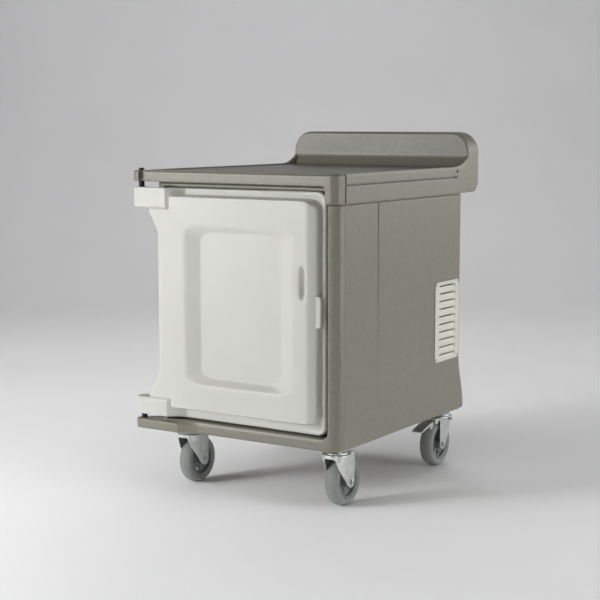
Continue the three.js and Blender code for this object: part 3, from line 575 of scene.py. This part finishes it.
def worktop():
    """The cap: deck and raised rim, hinge lug, skirt, backsplash with push grip, grooves and seams."""
    block = Block((-384, -467, 928), (383, 467, 1135), 2.0)
    x, y, z = block.axes
    low, top, right, rim_top, skirt_foot = CAP.low, CAP.top, CAP.right, CAP.rim, CAP.skirt
    deck = block.plan("z", rectangle(CAP.left, FRONT, right, CAP.rear, [12, 30, 20, 20]))
    ear = ear_plan(CAP.left + 2)
    whole = join(thick(deck, z, low, top, 3), block.prism("z", ear, low, top, 4))
    rim = thick(deck + CAP.rim_in, z, top - 4, rim_top, 0, 4)
    rim = carve(rim, thick(deck + CAP.rim_width, z, top, rim_top + 10, 2, 0), 4)
    whole = join(whole, meet(rim, y - CAP.cove - 20), 1.5)
    lug_rim = block.prism("z", ear, top - 3, top + 3.5, 0, 3)
    whole = join(whole, meet(lug_rim + 2.0, x - CAP.lug_left), 2)
    skirt = thick(deck, z, skirt_foot, low + 2, 3, 0)
    inside = rectangle(BODY.left - GAP, BODY.front - GAP, BODY.right + GAP, BODY.rear + GAP,
                       [38, 38, 25, 25])
    skirt = carve(skirt, block.prism("z", inside, skirt_foot - 30, low))
    front_gap = meet(x - CAP.block_left, z - low, 14)
    skirt = carve(skirt, meet(front_gap, y - BODY.front - CAP.corner_depth), 4)
    skirt = carve(skirt, meet(BODY.rear + 6 - y, z - low), 2)
    whole = join(whole, skirt, 1)
    face = block.plan("y", rectangle(CAP.left, 880, right, CAP.height,
                                     [0, 0, CAP.face_radius, CAP.face_radius], 14))
    whole = join(whole, meet(block.plan("x", splash_profile()), face, 6))
    start, end = RISE.start, RISE.end
    curve = [(at, rim_top - 0.5 + RISE.height * ((at - start) / (end - start)) ** RISE.power)
             for at in np.linspace(start, end, 15)]
    rise = block.plan("x", [(start, top - 2)] + curve + [(end, top - 2)])
    ends = meet(deck + CAP.rim_in, -RISE.width - deck)
    ends = meet(ends, right - 90 - np.abs(x - (CAP.left + right) / 2) * 1.2)
    whole = join(whole, meet(rise, ends), 2)
    grip = rectangle(GRIP.left, GRIP.front, GRIP.right, GRIP.rear, 14)
    whole = carve(whole, block.prism("z", grip, skirt_foot - 20, GRIP.top, 0, 8), 5)
    half, seam_y = GROOVE.half, CAP.block_rear
    groove = np.sqrt(((z - GROOVE.z) / half) ** 2 + (deck / GROOVE.depth) ** 2) * half - half
    slot = meet(np.abs(x - LUG_SLOT.x) - LUG_SLOT.half, y - FRONT - LUG_SLOT.depth)
    band = meet(np.abs(z - SEAMS.band_z) - SEAMS.band_half, right - SEAMS.band_depth - x)
    corner = meet(np.abs(y - seam_y) - SEAMS.corner_half, right - SEAMS.corner_depth - x)
    panel = meet(seam_y - y, right - SEAMS.panel_depth - x)
    for cut in (meet(groove, y - seam_y), meet(slot, LUG_SLOT.bottom - z),
                meet(band, meet(seam_y - y, y - CAP.panel_rear)),
                meet(corner, z - top + 1), meet(panel, y - CAP.panel_rear)):
        whole = carve(whole, cut, 0.5)
    port = thick(block.radial("x", PORT.y, PORT.z) - PORT.radius, x, right - PORT.depth, right + 20)
    whole = carve(whole, port, 1)
    whole = carve(whole, pin_hole(block, 975, 1030))
    return moulding("worktop_moulding", block, whole)


def splash_profile():
    """Side view of the cove, the backsplash and the push edge behind it."""
    cove, face, rear, low, foot = CAP.cove, CAP.face, CAP.rear, CAP.low, CAP.skirt
    return outline([
        (cove, low, 0), (cove, CAP.top, 0), (cove + 34, CAP.top + 4, 30), (face, CAP.cove_top, 22),
        (face, CAP.height, 12), (rear, CAP.height, 16), (rear, foot, CAP.tail_radius),
        (BODY.rear + 4, foot, 3), (BODY.rear + GAP, low, 0)], 10)


def door():
    """The white shell: slab and beaded flange, raised front with its wing, ears, tab, dish and scoop."""
    block = Block((-384, -467, 233), (322, -402, 966), 1.9)
    x, y, z = block.axes
    flange, back, left = DOOR.flange, DOOR.back, DOOR.left
    deep, run = y - FRONT, flange - FRONT
    near, far = DOOR.hinge_radius, DOOR.radius
    slab = block.plan("y", framed(DOOR, 0, [near, far, far, near]))
    whole = thick(slab, y, flange, back, 6, 2)
    bead = meet(np.abs(slab + BEAD.inset) - BEAD.half, BEAD.start - x)
    proud = BEAD.height * np.clip((x - BEAD.fade_from) / BEAD.fade, 0, 1) - BEAD.sunk
    whole = join(whole, thick(bead, y, flange - proud, flange + 6, 3, 0), 4)
    bevel, wall, end = PLATEAU.bevel, PLATEAU.wall, PLATEAU.end / run
    plateau = meet(plane(x - PLATEAU.right - bevel * deep, bevel),
                   plane(x - PLATEAU.foot - wall * (deep - run), wall), 2.5)
    corner = PLATEAU.corner + (PLATEAU.foot_corner - PLATEAU.corner) * np.clip(
        deep / PLATEAU.corner_depth, 0, 1)
    plateau = meet(plateau, plane(z - PLATEAU.top - end * deep, end), corner)
    plateau = meet(plateau, plane(PLATEAU.bottom - end * deep - z, end), corner)
    plateau = meet(meet(plateau, block.plan("y", outline(WING)), 5), -deep, 3.5)
    plateau = meet(plateau, np.where(x < left, y - WING_BACK, y - back), 2)
    whole = join(whole, plateau, 3)
    for ear in EARS:
        whole = join(whole, door_ear(block, *ear), 4)
    tab = block.prism("y", framed(TAB, 0, 9), TAB.front, flange + 5, 2, 0)
    whole = join(whole, tab, 2.5)
    side, end = RECESS.side / RECESS.depth, RECESS.end / RECESS.depth
    hollow = meet(plane(RECESS.left + side * deep - x, side), plane(x - RECESS.right + side * deep, side))
    ends = meet(plane(RECESS.bottom + end * deep - z, end), plane(z - RECESS.top + end * deep, end))
    hollow = meet(meet(hollow, ends, RECESS.corner), deep - RECESS.depth, 1.6)
    whole = carve(whole, hollow, 2.2)
    whole = carve(whole, scoop(block), 2)
    whole = carve(whole, pin_hole(block, EARS[0][0] + 3, 980))
    whole = carve(whole, pin_hole(block, 220, EARS[1][1] - 3))
    return moulding("door_moulding", block, whole, 0.01)


def door_ear(block, low, high, top_round):
    """A hinge ear: a knuckle round the pin with a slanting shoulder down to the flange."""
    rear = DOOR.back - 2
    plan = arc_round_pin(0.38, 1.12, 20) + [
        (-249, FRONT), (-197, DOOR.flange), (-197, rear), (-259, rear), (-259, WING_BACK), (-330, WING_BACK)]
    return block.prism("z", plan, low, high, 7, top_round)


def scoop(block):
    """The finger scoop: a shallow dish that falls into a deep upright grip at its right end."""
    middle = (SCOOP.bottom + SCOOP.top) / 2
    half = (SCOOP.top - SCOOP.bottom) / 2
    deep = block.y - FRONT
    slope = SCOOP.run / SCOOP.dish
    dish = meet(plane(SCOOP.left + slope * deep - block.x, slope), block.x - SCOOP.right)
    ends = np.abs(block.z - middle) - half + deep / SCOOP.fall
    dish = meet(dish, plane(ends, 1 / SCOOP.fall), 10)
    dish = meet(dish, deep - SCOOP.dish, 2)
    centre = (SCOOP.deep_left + SCOOP.right) / 2
    wide = (SCOOP.right - SCOOP.deep_left) / 2
    flat = ((block.x - centre) / wide) ** 2 + ((block.z - middle - SCOOP.lift) / SCOOP.tall) ** 4
    bowl = (np.sqrt(flat + (deep / SCOOP.grip) ** 2) - 1) * wide
    return join(dish, bowl, 3)


# ------------ small fittings
def louvre_plate():
    """The off-white plate whose scooped louvres open at their upper edges."""
    face, back, half, slope = VENT.face, BODY.right - 11, VENT.half, VENT.slope
    block = Block((back - 1, VENT.left, VENT.bottom), (face + 1, VENT.right, VENT.top), 0.85)
    x, y, z = block.axes
    whole = block.prism("x", framed(VENT, 0, 16), BODY.right + GAP, face, 0, 1.2)
    whole = join(whole, block.prism("x", framed(VENT, 16, 6, 8), back, BODY.right + 1, 2, 0))
    aside = np.abs(y - (VENT.left + VENT.right) / 2)
    middle_z = (VENT.bottom + VENT.top) / 2
    for k in range(VENT.count):
        top = middle_z + 6 + (k - (VENT.count - 1) / 2) * VENT.pitch
        pocket = plane(face - slope * (z - top + VENT.pocket) - x, slope)
        pocket = meet(meet(pocket, aside - half, 3), z - top, 1.5)
        whole = carve(whole, meet(pocket, top - 22 - z), 1)
        slot = meet(aside - half + 3, np.abs(z - top + VENT.slot_down) - VENT.slot_half)
        whole = carve(whole, meet(slot, x - face + 3), 0.5)
    for a, b in VENT_SCREWS:
        dimple = block.radial("x", a, b) - 5.5 + 0.8 * (face - x)
        whole = carve(whole, meet(dimple, x - face - 3), 0.5)
    return moulding("louvre_plate", block, whole, 0.02)


def screw(name):
    """A pan-head screw with a cross recess, its head towards +X."""
    block = Block((-3, -5, -5), (6, 5, 5), 0.28)
    out = block.radial("x", 0, 0)
    whole = join(thick(out - 4.2, block.x, 0, 2.4, 0.2, 1.6), thick(out - 2.1, block.x, -2.8, 1, 0.3, 0), 0.2)
    for across, along in ((block.y, block.z), (block.z, block.y)):
        slot = meet(np.abs(across) - 0.55, np.abs(along) - 2.4)
        whole = carve(whole, meet(slot, 1.2 - block.x), 0.15)
    return moulding(name, block, whole, 0.05)


def cavity_tub():
    """The moulded liner of the food space: coved corners and a flange round its mouth."""
    block = Block((-268, -393, 226), (337, 326, 970), 3.6)
    jamb, rear = OPENING.jamb, CAVITY.rear
    flat = block.plan("y", framed(CAVITY, 0, CAVITY.radius))
    void = thick(flat, block.y, jamb - 40, rear, 0, 16)
    shell = thick(flat - 3, block.y, jamb + 0.4, rear + 3, 0, 18)
    flange = block.prism("y", framed(OPENING, 1, [5, 22, 22, 5]), jamb + 0.4, jamb + 4, 1, 0)
    return moulding("cavity_tub", block, carve(join(shell, flange, 2), void, 5), 0.03)


def rounded_box(name, low, high, radius):
    """A box with rounded upright edges and bevelled ends."""
    plan = rectangle(low[0], low[1], high[0], high[1], radius, 5)
    return prism_mesh(name, "z", plan, low[2], high[2], radius * 0.7)


def join_meshes(name, meshes):
    """One mesh from several, keeping each part's own faces."""
    vertices, faces = [], []
    for mesh in meshes:
        base = len(vertices)
        vertices += [tuple(v.co / MM) for v in mesh.vertices]
        faces += [tuple(base + i for i in p.vertices) for p in mesh.polygons]
    return mesh_of(name, vertices, faces)


def tray_rack(name, side):
    """A runner rack: a side panel with ledges for the trays and a stop at the rear of each."""
    wall = CAVITY.left + 0.4 if side < 0 else CAVITY.right - 0.4
    low, high = sorted((wall, wall - side * RACK.wall))
    plan = rectangle(RACK.front, RACK.bottom, RACK.rear, RACK.top, 14)
    parts = [prism_mesh("panel", "x", plan, low, high, 1.2)]
    low, high = sorted((wall - side * (RACK.wall - 1), wall - side * RACK.reach))
    for k in range(RACK.ledges):
        top = RACK.lowest + RACK.pitch * k
        lip = rectangle(low, top - 6, high, top, [0.8, 2, 2, 0.8], 4)
        stop = outline([(low, top - 1, 0.5), (high, top - 1, 0.5), (high - 1, top + 3, 1.5),
                        (low + 1, top + 3, 1.5)], 4)
        parts += [prism_mesh("ledge", "y", lip, RACK.front + 6, RACK.rear - 6, 1.5),
                  prism_mesh("stop", "y", stop, RACK.rear - 14, RACK.rear - 8, 1)]
    return add(name, join_meshes(name, parts))


def door_panel():
    """The inner skin of the door with a groove inside its border and a pocket for the magnet."""
    block = Block((-261, -405, 235), (321, -399, 965), 1.6)
    flat = block.plan("y", framed(DOOR, 1, [6, 27, 27, 6]))
    whole = thick(flat, block.y, SKIN.front, SKIN.rear, 0.5, 1.5)
    channel = np.abs(flat + SKIN.border) - SKIN.half
    whole = carve(whole, meet(channel, SKIN.rear - SKIN.groove - block.y), 1)
    pocket = rectangle(MAGNET[0][0] - GAP, MAGNET[0][2] - GAP, MAGNET[1][0] + GAP, MAGNET[1][2] + GAP, 2)
    whole = carve(whole, block.prism("y", pocket, MAGNET[0][1] - GAP, -390))
    return moulding("door_inner_skin", block, whole, 0.02)


def door_seal():
    """The bulb gasket round the back of the door."""
    path = framed(SEAL_PATH, 0, SEAL_PATH.radius)
    low, high = SEAL_PATH.front, SEAL_PATH.rear
    section = outline([(-5, low, 1), (5, low, 1), (5, low + 3, 1), (3.4, high, 3), (-3.4, high, 3),
                       (-5, low + 3, 1)], 3)
    return add("door_seal", sweep_mesh("door_seal", path, section))


# ------------ casters, each in its own frame
def swivel_plate():
    """Top plate, raceway and hex bolts, centred on the swivel axis."""
    block = Block((-50, -57, 177), (50, 57, 191), 1.0)
    under = SWIVEL.plate
    plate = block.prism("z", rectangle(-50, -57, 50, 57, 9), under, 190.2, 0.8, 0.5)
    race = thick(block.radial("z", 0, 0) - 38, block.z, SWIVEL.race, under + 1, 3.5, 0)
    whole = join(plate, race, 1.5)
    sixths = [k * math.pi / 3 for k in range(6)]
    for a, b in ((-40, -47), (-40, 47), (40, -47), (40, 47)):
        hexagon = [(a + 7 * math.cos(t), b + 7 * math.sin(t)) for t in sixths]
        whole = join(whole, block.prism("z", hexagon, under - 5, under + 1, 1.2, 0), 0.4)
    return moulding("swivel_plate", block, whole, 0.03)


def fork(name, brake):
    """The pressed fork: domed crown, two swept cheeks that curl in at the front, and an arch between them."""
    block = Block((-46, -47, 55), (46, 82, 176), 1.0)
    x, y, z = block.axes
    trail, axle, crown = SWIVEL.trail, SWIVEL.axle, SWIVEL.crown
    out, aside = block.radial("z", 0, 0), np.abs(x)
    disc = thick(out - SWIVEL.disc, z, crown - 4, crown, 1, 2)
    whole = join(disc, thick(out - 33, z, crown - 4, crown + 6, 0, 4), 3)
    bridge = block.prism("z", rectangle(-32, -30, 32, 54, 4), crown - 4, crown, 0, 1.5)
    whole = join(whole, bridge, 1)
    lead = [(-43, crown + 6), (-41.5, 158), (-37, 142), (-27, 124), (-11, 102), (3, 84), (14, 68)]
    foot = [(trail + 19 * math.cos(a), axle + 19 * math.sin(a))
            for a in np.linspace(-0.78 * math.pi, 0.02 * math.pi, 14)]
    cheek = block.plan("x", lead + foot + [(54, crown + 6)])
    curl = np.clip((12 - y) / 54, 0, 1) ** 1.5 * 9
    bulge = 1.1 * (0.5 + 0.5 * np.tanh((y - 22) / 2.0))
    outer = aside - (SWIVEL.leg - 1.1 + bulge - curl)
    shell = meet(outer, -(outer + SWIVEL.cheek))
    whole = join(whole, meet(meet(cheek, z - crown), shell, 0.8), 3)
    hood = meet(out - SWIVEL.disc, SWIVEL.disc - 3.5 - out)
    hood = meet(meet(hood, z - crown + 1), meet(148 - z, y + 20))
    arch = np.sqrt(np.maximum(aside - 9, 0) ** 2 + (z - 141) ** 2) - 16
    arch = meet(np.minimum(arch, meet(aside - 25, z - 141)), y)
    whole = join(whole, carve(hood, arch, 1), 2)
    if brake:
        shelf = block.prism("z", rectangle(-27, 50, 27, 80, 3), crown - 4, crown, 0.5, 1)
        whole = join(whole, shelf, 1)
        wing = block.prism("y", rectangle(-27, 151, 27, crown - 1), 62, 80, 1)
        whole = join(whole, carve(wing, meet(aside - 22.5, z - crown + 4), 1), 1)
        rod = block.radial("x", SWIVEL.brake_y, SWIVEL.brake_z) - 3.4
        whole = carve(whole, meet(rod, aside - 40))
    whole = carve(whole, thick(out - 6.5, z, 150, 200))
    whole = carve(whole, thick(block.radial("x", trail, axle) - 5.4, x, -60, 60))
    return moulding(name, block, whole, 0.02)


def wheel_hub():
    """The hub: a rimmed disc with six lightening holes and a long boss."""
    block = Block((-27, -55, -55), (27, 55, 55), 1.1)
    x, radius = block.x, block.radial("x", 0, 0)
    disc = thick(radius - SWIVEL.hub, x, -7, 7, 1)
    rim = thick(np.abs(radius - 50.5) - 3.4, x, -19, 19, 1.5)
    whole = join(join(disc, rim, 3), thick(radius - 18, x, -26, 26, 1.5), 4)
    for k in range(6):
        a = math.pi * k / 3 + 0.3
        hole = block.radial("x", 34 * math.cos(a), 34 * math.sin(a)) - 8
        whole = carve(whole, thick(hole, x, -40, 40), 1)
    whole = carve(whole, thick(radius - 11.3, x, -40, 40), 0.5)
    return moulding("hub", block, whole, 0.02)


def tyre_profile():
    """Tread and sidewall of the tyre, with three fine moulded rings on each side."""
    half, radius, inner = SWIVEL.half, SWIVEL.wheel, SWIVEL.hub + GAP
    side = [(inner, half - 3, 1), (58, half - 2.2, 0.5), (58.6, half - 1.4, 0.3), (59.8, half - 1.4, 0.3),
            (60.4, half - 2.0, 0.3), (63.5, half - 0.8, 0.5), (64.1, half, 0.3), (65.3, half, 0.3),
            (65.9, half - 0.7, 0.3), (70, half - 3.2, 6), (radius - 2.6, half - 9, 5),
            (radius, half - 19, 14)]
    other = [(r, -h, fillet) for r, h, fillet in reversed(side)]
    return outline(side + other, 4)


def brake_lever():
    """The foot lever with its upturned ribbed toe and the shoe below it."""
    block = Block((-28, 58, 130), (28, 170, 166), 0.9)
    x, z = block.x, block.z
    profile = [(63, 154, 1), (78, 153.5, 4), (86, 143, 3), (95, 134.5, 2), (103, 137.5, 3), (109, 149.5, 6),
               (146, 139, 3), (165.5, 134.3, 1.5), (165.5, 139, 1.5), (150, 144.5, 3), (114, 155, 6),
               (80, 161.5, 5), (63, 161.5, 3)]
    side = block.plan("x", outline(profile, 4))
    whole = thick(side, x, -20, 20, 1.2)
    for k in range(4):
        ridge = np.abs(block.y - 142 - 6 * k) - 1.2
        top = z - (151.5 - 0.37 * (block.y - 122))
        whole = join(whole, meet(meet(ridge, np.abs(x) - 15), meet(top, 138 - z)), 0.6)
    rod = thick(block.radial("x", SWIVEL.brake_y, SWIVEL.brake_z) - 3, x, -27.6, 27.6, 0.5)
    return moulding("lever", block, join(whole, rod, 0.5), 0.02)


def hex_profile(across, low, high, chamfer):
    """Lathe profile that a six-sided turn makes into a chamfered nut."""
    return [(0, low), (across - chamfer, low), (across, low + chamfer * 0.6),
            (across, high - chamfer * 0.6), (across - chamfer, high), (0, high)]


def axle_bolt():
    """The wheel's bolt with its head, flange, washer and nut."""
    leg = SWIVEL.leg + 0.4
    rod = rectangle(0, -leg, 5, leg + 6.4, [0, 0.5, 1.2, 0], 3)
    washer = rectangle(5.1, leg, 9.5, leg + 1.4, [0.2, 0.4, 0.4, 0.2], 3)
    flange = rectangle(0, -leg - 1.4, 9.5, -leg, [0, 0.4, 0.4, 0], 3)
    nut = hex_profile(8.6, leg + 1.4, leg + 6, 1.0)
    head = hex_profile(8.6, -leg - 6, -leg - 1.4, 1.0)
    parts = [lathe_mesh("rod", "x", rod, 32), lathe_mesh("washer", "x", washer, 48),
             lathe_mesh("flange", "x", flange, 48), lathe_mesh("nut", "x", nut, 6, 20),
             lathe_mesh("head", "x", head, 6, 20)]
    return join_meshes("axle", parts)


def place_at(piece, x, y, way, z):
    """Puts a piece made in a caster's own frame in its place, turned about if way is negative."""
    turn = Matrix.Rotation(0.0 if way > 0 else math.pi, 4, "Z")
    piece.matrix_world = Matrix.Translation((x * MM, y * MM, z * MM)) @ turn
    return piece


# ------------ assembly
for piece, body, slot, *nodes in (
        (cabinet(), "cabinet", "granite_polyethylene", "cabinet_shell", "insulation_core"),
        (worktop(), "cabinet", "granite_polyethylene", "worktop_cap", "worktop_core"),
        (door(), "door", "white_polyethylene", "door_shell", "door_core"),
        (louvre_plate(), "cabinet", "ivory_abs", "vent_plate"),
        (door_panel(), "door", "white_polyethylene", "door_liner"),
        (door_seal(), "door", "gasket_rubber", "door_gasket"),
        (cavity_tub(), "cabinet", "liner_polyethylene", "cavity_liner"),
        (tray_rack("runner_rack_left", -1), "cabinet", "liner_polyethylene", "tray_rack_left"),
        (tray_rack("runner_rack_right", 1), "cabinet", "liner_polyethylene", "tray_rack_right")):
    fit(piece, body, slot, *nodes)

EDGE_RADII = [0.3, 0.8, 0.8, 0.3]  # of bushes and sleeves: fine at the bore, rounder outside
screw_piece = screw("louvre_screw_1")
for k, (a, b) in enumerate(VENT_SCREWS):
    piece = screw_piece if k == 0 else add(f"louvre_screw_{k + 1}", screw_piece.data)
    turn = Matrix.Rotation(0.5 + 0.7 * k, 4, "X")
    piece.matrix_world = Matrix.Translation(((BODY.right + 1.2) * MM, a * MM, b * MM)) @ turn
    fit(piece, "cabinet", "stainless_fastener", f"vent_screw_{k + 1}")

upper = [(0, 905, 0), (6, 905, 1), (6, 1017.8, 0.3), (9.5, 1017.8, 0.8), (9.5, 1022, 2.5), (0, 1024, 0)]
lower = [(0, 187, 0), (9.5, 187, 1.5), (9.5, 190.2, 0.5), (6, 190.2, 0.3), (6, 291, 1.5), (0, 291, 0)]
for name, profile in (
        ("upper_hinge_pin", outline(upper, 4)), ("lower_hinge_pin", outline(lower, 4)),
        ("upper_hinge_bush", rectangle(6.3, 964.3, 9.2, 981.7, EDGE_RADII, 4)),
        ("lower_hinge_bush", rectangle(6.3, 222.3, 9.2, 237.2, EDGE_RADII, 4))):
    piece = add(name + "_turned", lathe_mesh(name, "z", profile, 48))
    piece.matrix_world = Matrix.Translation((PIN.x * MM, PIN.y * MM, 0))
    fit(piece, "cabinet", "black_nylon", name)

fit(add("catch_magnet", rounded_box("catch_magnet", *MAGNET, 1.5)), "door", "black_nylon", "door_magnet")
fit(add("catch_strike", rounded_box("catch_strike", *STRIKE, 1.0)), "cabinet", "stainless_fastener",
    "strike_plate")
tube_ring = rectangle(13, 297.4, 16, 362, 1, 3)
tube = add("breather_sleeve", lathe_mesh("breather_sleeve", "x", tube_ring, 48))
tube.matrix_world = Matrix.Translation((0, 250 * MM, 510 * MM))
fit(tube, "cabinet", "black_nylon", "breather_tube")

plates, forks, brake_forks = swivel_plate(), fork("fork", False), fork("brake_fork", True)
hubs, levers = wheel_hub(), brake_lever()
tyre_mesh = lathe_mesh("tyre", "x", tyre_profile(), 96, 50)
sleeve_mesh = lathe_mesh("bearing", "x", rectangle(5.4, -27.2, 10.9, 27.2, EDGE_RADII, 3), 40)
king = [(0, 157, 0), (9, 157, 1.5), (9, 163.4, 0.8), (6, 163.4, 0.3), (6, 189.3, 0.5), (0, 189.3, 0)]
king_mesh = lathe_mesh("kingpin", "z", outline(king, 3), 40)
bolt_mesh = axle_bolt()

CORNERS = (("front_left", -242, -350, 1), ("front_right", 311, -350, 1),
           ("rear_left", -242, 335, -1), ("rear_right", 311, 335, -1))
for corner, at_x, at_y, way in CORNERS:
    rear = way < 0
    swivel, wheel = f"{corner}_swivel", f"{corner}_wheel"
    by_axle = (at_y + way * SWIVEL.trail, SWIVEL.axle)
    parts = [  # piece, mesh, body, slot, CAD node and, away from the swivel's axis, its y and z
        ("swivel_plate", plates.data, "cabinet", "zinc_steel", "caster_plate"),
        ("kingpin_bolt", king_mesh, "cabinet", "stainless_fastener", "kingpin"),
        ("pressed_fork", (brake_forks if rear else forks).data, swivel, "zinc_steel", "fork"),
        ("tread", tyre_mesh, wheel, "grey_tyre", "tyre", *by_axle),
        ("wheel_centre", hubs.data, wheel, "grey_hub", "hub", *by_axle),
        ("bearing_sleeve", sleeve_mesh, wheel, "stainless_fastener", "bearing", *by_axle),
        ("axle_bolt", bolt_mesh, swivel, "stainless_fastener", "axle", *by_axle)]
    if rear:
        parts.append(("foot_lever", levers.data, f"{corner}_brake", "zinc_steel", "brake_pedal"))
    for name, data, body, slot, node, *at in parts:
        y, z = at or (at_y, 0.0)
        piece = place_at(add(f"{corner}_{name}", data), at_x, y, way, z)
        fit(piece, body, slot, f"{corner}_{node}")
for spare in (plates, forks, brake_forks, hubs, levers):
    bpy.data.objects.remove(spare)


# ------------ studio
VIEW_TURN = math.radians(32.5)  # how far the camera and the backdrop are turned from the cabinet's front


def studio_floor():
    """A pale floor that curves up into a plain backdrop."""
    depth = [(-9, 0), (4.2, 0)]
    depth += [(4.2 + 3 * math.sin(a), 3 - 3 * math.cos(a)) for a in np.linspace(0.1, math.pi / 2, 14)]
    depth.append((7.2, 9))
    turn = Matrix.Rotation(VIEW_TURN, 4, "Z")
    vertices = [turn @ Vector((x, y, z)) for y, z in depth for x in (-12, 12)]
    faces = [(2 * k, 2 * k + 1, 2 * k + 3, 2 * k + 2) for k in range(len(depth) - 1)]
    mesh = smooth_mesh("studio_floor", vertices, faces)
    piece = add("studio_floor", mesh)
    mesh.materials.append(MATERIALS["studio_paper"])
    return piece


def soft_light(name, at, target, size, power, only):
    """An area light; if only names pieces, it lights nothing but those."""
    lamp = bpy.data.lights.new(name, "AREA")
    lamp.shape = "RECTANGLE"
    lamp.size, lamp.size_y = size
    lamp.energy = power
    holder = bpy.data.objects.new(name, lamp)
    bpy.context.scene.collection.objects.link(holder)
    holder.location = at
    holder.rotation_euler = (Vector(target) - Vector(at)).to_track_quat("-Z", "Y").to_euler()
    if only:
        group = bpy.data.collections.new(f"{name}_receives")
        for piece in only:
            group.objects.link(piece)
        holder.light_linking.receiver_collection = group


paper = [studio_floor()]
pieces = [piece for piece in bpy.data.objects if piece.type == "MESH" and piece not in paper]
HEART = (0, 0, 0.6)
for name, at, target, size, power, only in (
        ("key_front", (-2.2, -3.6, 1.4), HEART, (1.0, 1.0), 59, ()),
        ("key_high", (-3.2, -3.0, 2.4), HEART, (2.0, 1.6), 36, ()),
        ("key_far", (-3.8, -5.8, 1.9), HEART, (2.6, 2.6), 44, ()),
        ("side", (4.6, 0.4, 1.2), HEART, (2.4, 2.4), 78, ()),
        ("rear_fill", (3.2, 4.4, 2.0), HEART, (2.5, 2.5), 60, pieces),
        ("floor_wash", (1.6, -1.6, 6.0), HEART, (5.0, 5.0), 93, paper),
        ("back_wash", (-0.8, 3.0, 5.0), HEART, (4.0, 3.0), 60, paper),
        ("wall_wash", (0.0, 2.0, 5.5), (-3.9, 6.1, 3.4), (5.0, 2.0), 80, paper)):
    soft_light(name, at, target, size, power, only)

world = bpy.data.worlds.new("studio")
world.use_nodes = True
ambient = world.node_tree.nodes["Background"].inputs
ambient["Color"].default_value = (1, 1, 1, 1)
ambient["Strength"].default_value = 0.05
bpy.context.scene.world = world
bpy.context.scene.view_settings.view_transform = "Standard"

lens = bpy.data.cameras.new("camera")
lens.lens = 86.0
lens.sensor_width = 36.0
camera = bpy.data.objects.new("camera", lens)
camera.location = (2.508, -4.007, 1.1723)
camera.rotation_euler = (math.radians(90 - 7.15), 0, VIEW_TURN)
bpy.context.scene.collection.objects.link(camera)
bpy.context.scene.camera = camera
